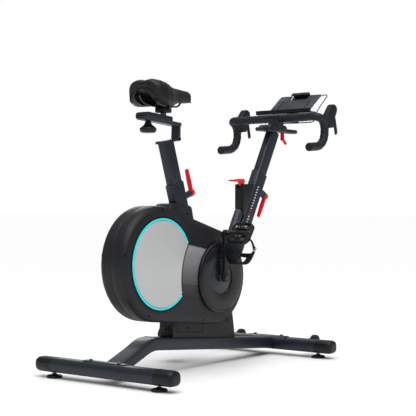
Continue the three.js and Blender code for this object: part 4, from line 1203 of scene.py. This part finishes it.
# Distance forward of the back, half width, top, widest height, foot of the skirts, half width of
# the hollow underneath, and the hollow's roof.
STATIONS = [(0, 30, 1059, 1047, 1034, 20, 1036), (5, 58, 1068, 1041, 1018, 38, 1034),
            (12, 70, 1073, 1033, 1003, 46, 1032), (26, 79, 1077, 1024, 992, 50, 1030),
            (58, 82, 1077, 1018, 980, 50, 1027), (96, 74, 1072, 1014, 980, 46, 1024),
            (134, 54, 1063, 1016, 986, 38, 1022), (176, 37, 1058, 1020, 996, 28, 1021),
            (220, 29, 1056, 1024, 1001, 19, 1021), (258, 25, 1053, 1026, 1003, 14, 1021),
            (276, 19, 1049, 1024, 1004, 9, 1014), (285, 9, 1037, 1020, 1008, 4, 1010)]


def pad_rings(shrink):
    rings = []
    for reach, half, top, edge, skirt, inner, roof in STATIONS:
        half, top, inner = half - shrink, top - shrink, max(2, inner + shrink / 2)
        over = []
        for j in range(17):
            c, s = math.cos(math.pi * j / 16), math.sin(math.pi * j / 16)
            over.append((half * math.copysign(abs(c) ** 0.8, c), edge + (top - edge) * abs(s) ** 0.75))
        foot = [(0.985 * half, (edge + skirt) / 2), (0.96 * half, skirt + 2),
                ((0.95 * half + inner) / 2, skirt + 1),
                (inner, skirt + 2), (0.98 * inner, (skirt + roof) / 2), (0.88 * inner, roof),
                (0.4 * inner, roof + 1.5)]
        ring = over + [(-y, z) for y, z in foot] + [(0, roof + 2)] + foot[::-1]
        rings.append([(SADDLE_BACK + reach, y, z) for y, z in ring])
    return rings


print("saddle stations", len(STATIONS), "over", STATIONS[-1][0], "mm")

# %% Remesh the pad and stuff it
pad = piece("saddle_pad", skin(pad_rings(3.0)), saddle_vinyl, "saddle", ["saddle"],
            angle=180)
remesh = pad.modifiers.new("remesh", "REMESH")
remesh.mode, remesh.voxel_size = "VOXEL", 0.004
bpy.context.view_layer.update()
pad_mesh = bpy.data.meshes.new_from_object(pad.evaluated_get(bpy.context.evaluated_depsgraph_get()))
pad.modifiers.clear()
pad.data = pad_mesh
before = [v.co.copy() for v in pad_mesh.vertices]
cloth = pad.modifiers.new("stuffing", "CLOTH")
cloth.settings.use_pressure = True
cloth.settings.uniform_pressure_force = 4
cloth.settings.effector_weights.gravity = 0
cloth.settings.quality = 6
scene = bpy.context.scene
for step in range(1, 17):
    scene.frame_set(step)
swollen = bpy.data.meshes.new_from_object(pad.evaluated_get(bpy.context.evaluated_depsgraph_get()))
pad.modifiers.clear()
MOST_SWELL = 0.0045
for vertex, old, new in zip(pad_mesh.vertices, before, swollen.vertices):
    move = new.co - old
    vertex.co = old + move * min(1, MOST_SWELL / max(move.length, 1e-9))
scene.frame_set(1)

# %% Lobes, channel and base line pressed into the pad
lift_lobes, channel_deep = 0.0025, 0.0085
for vertex in pad_mesh.vertices:
    x, y, z = on_bike(vertex.co)
    reach = x - SADDLE_BACK
    if z > 1040:
        up = min(1, (z - 1040) / 18)
        along_pad = max(0, min(1, reach / 25)) * max(0, min(1, (265 - reach) / 60))
        width = 9 + 5 * max(0, 1 - reach / 120)
        vertex.co.z -= up * along_pad * channel_deep * math.exp(-(y / width) ** 2)
        rear = max(0, 1 - reach / 110)
        vertex.co.z += up * rear * lift_lobes * math.exp(-((abs(y) - 42) / 22) ** 2)
    seam = math.exp(-((reach - 98 + abs(y) * 0.35) / 2.2) ** 2) * (1 if z > 1034 else 0)
    vertex.co.z -= 0.0011 * seam
smooth = pad.modifiers.new("round", "SUBSURF")
smooth.levels = smooth.render_levels = 1
pad_mesh.shade_smooth()
print("pad faces", len(pad_mesh.polygons))

# %% Saddle base
liner_rings, edge_line = [], []
for reach, half, top, edge, skirt, inner, roof in STATIONS:
    corner = [(inner + 2, skirt + 4), (inner + 2, roof + 4), (0, roof + 5)]
    hollow = [(0.86 * inner, skirt + 4), (0.8 * inner, roof - 2)]
    outer = corner + [(-y, z) for y, z in corner[1::-1]]
    section = outer + [(-y, z) for y, z in hollow] + [(0, roof - 1.5)] + hollow[::-1]
    liner_rings.append([(SADDLE_BACK + reach, y, z) for y, z in section])
    edge_line.append((SADDLE_BACK + reach, max(2, 0.955 * half - 5), skirt + 4.5))
piece("saddle_base", skin(liner_rings), black_plastic, "saddle", angle=60)
hem = edge_line[::-1] + [(SADDLE_BACK - 0.5, 0, 1036.5)] + [(x, -y, z) for x, y, z in edge_line]
piece("saddle_piping", tube(hem, 1.5, 8, 8), satin_black, "saddle")


# %% [markdown]
# Stitches run along the cover's cross seam. Points are set along the seam's path at the stitch
# length, and a tree lays one small thread on each.

# %% Stitches
def pad_top(x, y):
    """Height of the pad's skin at a place, found by looking down on it."""
    spot = in_frame(x, y, 1120)
    hit, where, *_ = pad.ray_cast(spot, Vector((0, 0, -1)))
    return on_bike(where).z if hit else None


thread_points, thread_aims = [], []
for i in range(-21, 22):
    y = i * 2.9
    x = SADDLE_BACK + 101 - abs(y) * 0.35
    z = pad_top(x, y)
    z2 = pad_top(x, y + 1)
    if z and z2:
        thread_points.append((x, y, z + 0.2))
        thread_aims.append(Vector((0, 1, z2 - z)).normalized())
grown("saddle_stitches", thread_points, cones_on_points("thread_stitches", 8),
      cone_sizes(0.4, 0.45, 2.2, thread_black), "saddle", thread_aims)

# %% [markdown]
# ## Handlebar post and slide
# The front post carries a rail with rounded ends. A block slides on it and holds the bar, and a
# small red lever under the rail locks it.

# %% Post, rail and block
front_post = leaning_tube(BAR_POST, 8, BAR_LEAN, BAR_FOOT, 640, 930)
slide_rail = slab(rounded(268, 17, 8, 1075, 937, 6), -19, 19, 2.5)
piece("bar_post_and_rail", together(front_post, slide_rail), powder_coat, "bar_post", ["bar_post"])
HANDLE, BAR_RADIUS = Vector((1062, 0, 986)), 17.5
block_outline = softened([(972, 930), (980, 951), (992, 958), (1100, 958), (1112, 950), (1112, 938),
                          (1106, 930)], 4)
bar_clamp = slab(rounded(44, 50, 12, HANDLE.x + 6, HANDLE.z - 12, 6), -26, 26, 3)
stem_block = together(slab(block_outline, -29, 29, 3), bar_clamp)
block = piece("bar_block", stem_block, powder_coat, "bar_carriage", ["bar_carriage"])
boolean(block, slab([(900, 900), (1260, 900), (1260, 946), (900, 946)], -19.4, 19.4))
boolean(block, rod((HANDLE.x, -40, HANDLE.z), (HANDLE.x, 40, HANDLE.z), BAR_RADIUS - 0.1, 40))
# The perforations are thin near-black slot plates on the block's sides: painted shade where holes would
# be.
slot_shades = []
for side, sign in SIDES:
    for x in (1000, 1017, 1034):
        slot_shade = slab(rounded(10, 5.5, 2.7, x, 951.5, 4), 28.9, 29.3)
        slot_shades.append(on_side(slot_shade, sign))
piece("block_slot_shade", together(*slot_shades), black_and_groove_shade, "bar_carriage")
screws("block_screws", [(x, sign * 26.2, 964) for _, sign in SIDES for x in (1054, 1082)],
       [(0, sign, 0) for _, sign in SIDES for _ in range(2)], 3.4, dark_steel, "bar_carriage", 1.6)
lever_at = on_bike(joint_at["slide_lever_turn"])
small_lever = [rod((lever_at.x, 0, 897), (lever_at.x, 0, 927.6), 8.5, 28),
               rod((lever_at.x - 4, 0, 908), (lever_at.x + 28, 0, 882), 7, 24, 5.5, 2)]
piece("slide_lock_lever", together(*small_lever), lever_red, "slide_lever", ["slide_lever"])

# %% [markdown]
# ## Drop handlebar
# Cork tape is wound round the bar from the ends to the stem, so each turn overlaps the last. The
# tape's skin follows a rule: its radius grows by the tape's thickness over each turn, then steps
# back. The path is the same smooth curve as the bar's.

# %% Bar with wound tape
def half_bar(s):
    points = [(1062, 140, 986), (1052, 184, 986), (1050, 204, 985), (1061, 219, 981), (1081, 222, 971),
              (1095, 222, 949), (1097, 222, 916), (1083, 222, 884), (1052, 222, 864), (1012, 222, 859),
              (974, 222, 856)]
    return [(x, y * s, z) for x, y, z in points]


LAP = 0.86


def wound(path, pitch, low, high, sides=36):
    """A tape wound on a path: one turn each pitch."""
    rings, run = [], 0.0
    previous = None
    for here, side, above_it in frames_on(path):
        run += (here - previous).length if previous else 0
        previous = here
        ring = []
        for j in range(sides):
            t = 2 * math.pi * j / sides
            share = (run / pitch + j / sides) % 1
            if share < LAP:
                radius = low + (high - low) * min(1, share / LAP)
            else:
                radius = high + (low - high) * (share - LAP) / (1 - LAP)
            ring.append(here + side * radius * math.cos(t) + above_it * radius * math.sin(t))
        rings.append(ring)
    return skin(rings)


for side, sign in SIDES:
    whole = smooth_path([(1062, 30 * sign, 986), (1062, 90 * sign, 986), *half_bar(sign)], 60)
    spaced, last = [whole[0]], whole[0]
    for p in whole:
        if (p - last).length >= 1.5:
            spaced.append(p)
            last = p
    piece(f"bar_tape_{side}", wound(spaced, 21, BAR_RADIUS - 0.9, BAR_RADIUS + 0.3), bar_tape,
          "bar_carriage", ["handlebar"] if sign < 0 else (), angle=50)
    tip = Vector(half_bar(sign)[-1])
    aim = (tip - Vector(half_bar(sign)[-2])).normalized()
    plug = rod(tip - aim * 4, tip + aim * 1.5, BAR_RADIUS - 1.2, 36, edge=1.2)
    piece(f"bar_plug_{side}", plug, black_plastic, "bar_carriage")
piece("bar_middle", rod((HANDLE.x, -34, HANDLE.z), (HANDLE.x, 34, HANDLE.z), BAR_RADIUS - 0.5, 40),
      dark_alloy, "bar_carriage")

# %% [markdown]
# ## Brake hoods and levers
# A rubber hood grips the bend and rises to a rounded horn, and the lever hangs in front of it. The
# hood is an outline with a wide rounded edge, and the right one is the left one's mirror image.

# %% Hoods and levers
HOOD_IN, HOOD_OUT = 209, 235
PULL_IN, PULL_OUT = 216.8, 227.2
hood_outline = [(1092, 978), (1106, 1000), (1134, 1032)]
hood_outline += bezier((1134, 1032), (1143, 1042), (1155, 1044), (1168, 1039), 8)[1:]
hood_outline += bezier((1168, 1039), (1181, 1033), (1184, 1022), (1178, 1008), 8)[1:]
hood_outline += [(1163, 984), (1153, 944), (1118, 940), (1108, 962)]
for side, sign in SIDES:
    hood_part = on_side(slab(softened(hood_outline, 3, 2), HOOD_IN, HOOD_OUT, 10, 5), sign)
    piece(f"hood_{side}", hood_part, rubber, "bar_carriage", [f"brake_hood_{side}"], angle=45)
    lever_outline = [(1160, 1014), (1170, 1010)] + bezier((1170, 1010), (1180, 990), (1188, 965),
                                                          (1197, 922), 12)[1:]
    lever_outline += [(1186, 916)] + bezier((1186, 916), (1177, 955), (1168, 982), (1153, 1003), 12)[1:]
    blade = on_side(slab(lever_outline, PULL_IN, PULL_OUT, 3, 3), sign)
    piece(f"pull_lever_{side}", blade, dark_alloy, f"brake_lever_{side}", [f"brake_lever_{side}"],
          angle=50)
    ribs = []
    for i in range(5):
        z = 1014 - i * 9
        ribs.append(tube([(1126, sign * (HOOD_OUT + 0.1), z), (1138, sign * (HOOD_OUT + 0.4), z - 3),
                          (1150, sign * (HOOD_OUT + 0.1), z - 8)], 0.9, 8, 4))
    piece(f"hood_ribs_{side}", together(*ribs), rubber, "bar_carriage")

# %% [markdown]
# ## Tablet tray
# A tilted plate on a bracket, with a shelf at its foot, a wire easel round it and a sprung clip at
# the top. The clip slides up the plate to take a tablet.

# %% Tray, ledge, bracket, wire
TRAY, TRAY_TILT, TRAY_LENGTH, TRAY_HALF = Vector((1165, 0, 1021)), 36.6, 131, 104


def on_tray(part):
    turned(part, "Y", -TRAY_TILT)
    part.transform(Matrix.Translation(TRAY))
    return part


plate = on_tray(slab(softened([(-6, -TRAY_HALF), (TRAY_LENGTH, -TRAY_HALF), (TRAY_LENGTH, TRAY_HALF),
                               (-6, TRAY_HALF)],
                              9, 6), -2.5, 2.5, 1, 2, "z"))
plate_piece = piece("tray_plate", plate, slate_plate, "bar_carriage", ["tablet_tray"])
boolean(plate_piece, on_tray(slab([(TRAY_LENGTH - 34, -44), (TRAY_LENGTH + 9, -44), (TRAY_LENGTH + 9, 44),
                                   (TRAY_LENGTH - 34, 44)], -9, 9, axis="z")))
ledge = [slab(softened([(1120, -140), (1168, -140), (1168, 140), (1120, 140)], 6), 1012, 1016.5, 1, 2,
              "z"),
         slab(softened([(1120, 1012), (1124, 1012), (1124, 1030), (1120, 1030)], 1.5), -139, 139, 1, 2),
         on_tray(slab([(-12, -7), (14, -7), (14, 2.4), (-12, 2.4)], -TRAY_HALF, TRAY_HALF, 0.8, 2)),
         slab(softened([(1112, 974), (1212, 974), (1212, 979), (1112, 979)], 2), -24, 24, 1, 2),
         slab(softened([(1196, 974), (1212, 974), (1212, 1046), (1196, 1046)], 3), -24, 24, 1.5, 2),
         on_tray(slab([(60, -8), (TRAY_LENGTH - 36, -8), (TRAY_LENGTH - 36, -2), (60, -2)], -30, 30, 1,
                      2))]
piece("tray_shelf", together(*ledge), black_plastic, "bar_carriage")
w = TRAY_HALF + 4
easel = [(1262, -w + 8, 1091), (1290, -w, 1099), (1306, -w, 1093), (1250, -w, 1047), (1222, -w, 1018),
         (1206, -w + 2, 990), (1200, -w + 12, 976.5), (1200, 0, 976.5)]
easel += [(x, -y, z) for x, y, z in easel[-2::-1]]
piece("easel_wire", tube(easel, 2.4, 14, 10), dark_steel, "bar_carriage")
rubber_strips = [on_tray(slab(rounded(74, 5, 2, 52, y, 4), 2.4, 3.2, 0.3, 1, "z")) for y in (-70, 70)]
piece("tray_grip_strips", together(*rubber_strips), rubber, "bar_carriage")
clip = [on_tray(slab([(TRAY_LENGTH - 33, -43), (TRAY_LENGTH + 8, -43), (TRAY_LENGTH + 8, 43),
                      (TRAY_LENGTH - 33, 43)], -8, -4, 1, 2, "z")),
        on_tray(slab(softened([(TRAY_LENGTH + 2, -8), (TRAY_LENGTH + 8, -8), (TRAY_LENGTH + 8, 14),
                               (TRAY_LENGTH - 12, 14), (TRAY_LENGTH - 12, 9), (TRAY_LENGTH + 2, 9)], 2.5),
                     -43, 43, 1.5, 3))]
piece("sprung_clip", together(*clip), black_plastic, "tablet_clip", ["tablet_clip"])

# %% [markdown]
# ## Cranks and pedals
# The crank arms taper from the hub to the pedal eye. A pedal is a frame with two windows round a
# barrel, with a binding on one face; a toe cage and its strap hold the shoe on the other.

# %% Crank arms
CRANK_LENGTH = 170


def crank_arm(sign, up):
    outline = arc(0, 0, 19, 144, 396, 22) + [(12, CRANK_LENGTH - 34)]
    outline += arc(0, CRANK_LENGTH, 14, 0, 180, 16) + [(-12, CRANK_LENGTH - 34)]
    arm = slab(outline, 84, 97, 3.2, 4)
    hub = lathe([(0, 83.2), (17, 83.2), (17, 98.6), (15.8, 99.8), (11, 100), (10.4, 98.8), (0, 98.8)],
                (0, 0, 0), "y", 40)
    whole = together(arm, hub)
    if up < 0:
        turned(whole, "Y", 180)
    whole.transform(Matrix.Translation((CRANK.x, 0, CRANK.z)))
    return on_side(whole, sign)


for side, sign in SIDES:
    up = 1 if sign < 0 else -1
    piece(f"arm_{side}", crank_arm(sign, up), dark_alloy, "crankset", [f"crank_arm_{side}"],
          angle=40)
    bolt = lathe([(0, 98.5), (8.6, 98.5), (8.6, 101), (7.6, 101.8), (4.4, 101.9), (4.2, 100.4),
                  (0, 100.4)],
                 (CRANK.x, 0, CRANK.z), "y", 32)
    piece(f"crank_bolt_{side}", on_side(bolt, sign), dark_steel, "crankset")


# %% Pedal frames
PEDAL_IN, PEDAL_OUT, PEDAL_LONG, PEDAL_THICK, PEDAL_HANG = 118, 212, 94, 18, 125
PEDAL_MID = (PEDAL_IN + PEDAL_OUT) / 2


def placed_pedal(part, sign, up):
    part = on_side(part, sign)
    turned(part, "Y", PEDAL_HANG)
    part.transform(Matrix.Translation((CRANK.x, 0, CRANK.z + up * CRANK_LENGTH)))
    return part


def pedal_frame():
    x, c = PEDAL_LONG / 2, 15
    outer = softened([(-x + c, PEDAL_IN), (x - c, PEDAL_IN), (x, PEDAL_IN + c), (x, PEDAL_OUT - c),
                      (x - c, PEDAL_OUT), (-x + c, PEDAL_OUT), (-x, PEDAL_OUT - c), (-x, PEDAL_IN + c)],
                      8, 4)
    return slab(outer, -PEDAL_THICK / 2, PEDAL_THICK / 2, 2.4, 3, "z")


print("pedals are centred", PEDAL_MID, "from the middle plane")

# %% Pedal, axle and binding
for side, sign in SIDES:
    up = 1 if sign < 0 else -1
    body = f"pedal_{side}"
    frame_piece = piece(f"pedal_frame_{side}", placed_pedal(pedal_frame(), sign, up), black_plastic, body,
                        [f"pedal_{side}"])
    for x0, x1 in ((14, 38), (-38, -14)):
        window = slab(softened([(x0, PEDAL_IN + 15), (x1, PEDAL_IN + 15), (x1, PEDAL_OUT - 14),
                                (x0, PEDAL_OUT - 14)],
                               5, 4), -20, 20, axis="z")
        boolean(frame_piece, placed_pedal(window, sign, up))
    bars = [rod((0, 85, 0), (0, PEDAL_IN + 4, 0), 7, 24), rod((0, 99, 0), (0, PEDAL_IN + 2, 0), 10, 6),
            rod((0, PEDAL_IN, 0), (0, PEDAL_OUT - 2, 0), 11, 32)]
    piece(f"pedal_axle_{side}", placed_pedal(together(*bars), sign, up), dark_steel, body)
    binding = [slab(softened([(-30, 150), (-10, 146), (-10, 184), (-30, 180)], 4), -15.5, -8, 1.5, 2,
                    "z"),
               slab(softened([(12, 148), (34, 152), (34, 178), (12, 182)], 4), -14.5, -8, 1.5, 2, "z"),
               rod((-20, 140, -11), (-20, 190, -11), 4, 16), rod((22, 143, -11), (22, 187, -11), 3.4, 16),
               slab(softened([(-6, 150), (8, 150), (8, 180), (-6, 180)], 3), -13, -8, 1, 2, "z")]
    piece(f"pedal_binding_{side}", placed_pedal(together(*binding), sign, up), dark_alloy, body)
    heads = [rod((x, y, -14.2), (x, y, -16.3), 2.6, 12, edge=0.4) for x in (-20, 22) for y in (157, 173)]
    piece(f"binding_screws_{side}", placed_pedal(together(*heads), sign, up), bright_steel, body)
    coil = []
    for y in (143, 187):
        loops = [(-20 + 6 * math.cos(t), y - 4 + t * 1.2 * 8 / (6 * math.pi), -11 + 6 * math.sin(t))
                 for t in (k * math.pi / 6 for k in range(37))]
        coil.append(tube(loops, 0.9, 8, 1))
    piece(f"binding_springs_{side}", placed_pedal(together(*coil), sign, up), bright_steel, body)

# %% [markdown]
# The toe cage is a thin moulded band. It leaves the pedal's front edge, turns up round the toe and
# runs back over it, narrowing as it goes, so it is a flat section swept along that curve.


# %% Cage band and strap
def cage_band():
    spine = bezier((50, -7), (82, -8), (112, -2), (115.6, 20), 14)
    spine += bezier((115.6, 20), (118, 40), (104, 68), (48, 66.5), 18)[1:]
    path = [Vector((x, PEDAL_MID, z)) for x, z in spine]
    rings = []
    for i, here in enumerate(path):
        ahead = (path[min(i + 1, len(path) - 1)] - path[max(i - 1, 0)]).normalized()
        out = Vector((ahead.z, 0, -ahead.x))
        share = i / (len(path) - 1)
        half = 41 if share < 0.12 else 41 - 16 * math.sin(math.pi * min(1, (share - 0.12) / 0.62)) ** 1.2
        half = max(half, 24)
        section = [(-half, -1.2), (-half + 1.2, -1.9), (half - 1.2, -1.9), (half, -1.2), (half, 0.9),
                   (half - 1.6, 1.8), (-half + 1.6, 1.8), (-half, 0.9)]
        rings.append([here + Vector((0, a, 0)) + out * b for a, b in section])
    return skin(rings)


def strap_loop():
    """The strap runs through the pedal, up both sides of the cage and over its top."""
    loop = [(26, PEDAL_IN + 6, -4), (26, PEDAL_IN - 5, 4), (34, PEDAL_IN - 6, 30), (46, PEDAL_IN + 4, 58),
            (54, PEDAL_IN + 26, 70.5), (56, PEDAL_MID, 72.5), (54, PEDAL_OUT - 26, 70.5),
            (46, PEDAL_OUT - 4, 58), (34, PEDAL_OUT + 5, 30), (26, PEDAL_OUT + 4, 4),
            (26, PEDAL_OUT - 6, -4)]
    return sweep(smooth_path(loop, 8), rounded(12, 1.8, 0.8, 0, 0, 2), (1, 0, 0))


print("cage faces", len(cage_band().faces))

# %% Both cages, straps and buckles
for side, sign in SIDES:
    up = 1 if sign < 0 else -1
    body = f"pedal_{side}"
    cage = piece(f"cage_{side}", placed_pedal(cage_band(), sign, up), black_plastic, body,
                 [f"toe_cage_{side}"], angle=40)
    window = slab(softened([(60, PEDAL_MID - 14), (92, PEDAL_MID - 14), (92, PEDAL_MID + 14),
                            (60, PEDAL_MID + 14)],
                           6, 4), 50, 90, axis="z")
    boolean(cage, placed_pedal(window, sign, up))
    piece(f"toe_strap_{side}", placed_pedal(strap_loop(), sign, up), thread_black, body)
    buckle = [slab(rounded(20, 16, 3, 40, 48, 4), PEDAL_OUT + 3.0, PEDAL_OUT + 5.0, 0.6, 2),
              rod((34, PEDAL_OUT + 5, 48), (46, PEDAL_OUT + 5, 48), 2.2, 16)]
    piece(f"strap_buckle_{side}", placed_pedal(together(*buckle), sign, up), bright_steel, body)

# %% [markdown]
# ## What stays as the frame made it
# The inner frame, flywheel and spindle are the right shape already and hardly seen. They keep the
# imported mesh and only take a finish.

# %% Finishes on the inner pieces
for node, material in (("frame_spine", powder_coat), ("flywheel", dark_steel),
                       ("crank_spindle", bright_steel)):
    mesh = frame["nodes"][node].data
    mesh.materials.clear()
    mesh.materials.append(material)
    print(node, "is finished in", material.name)
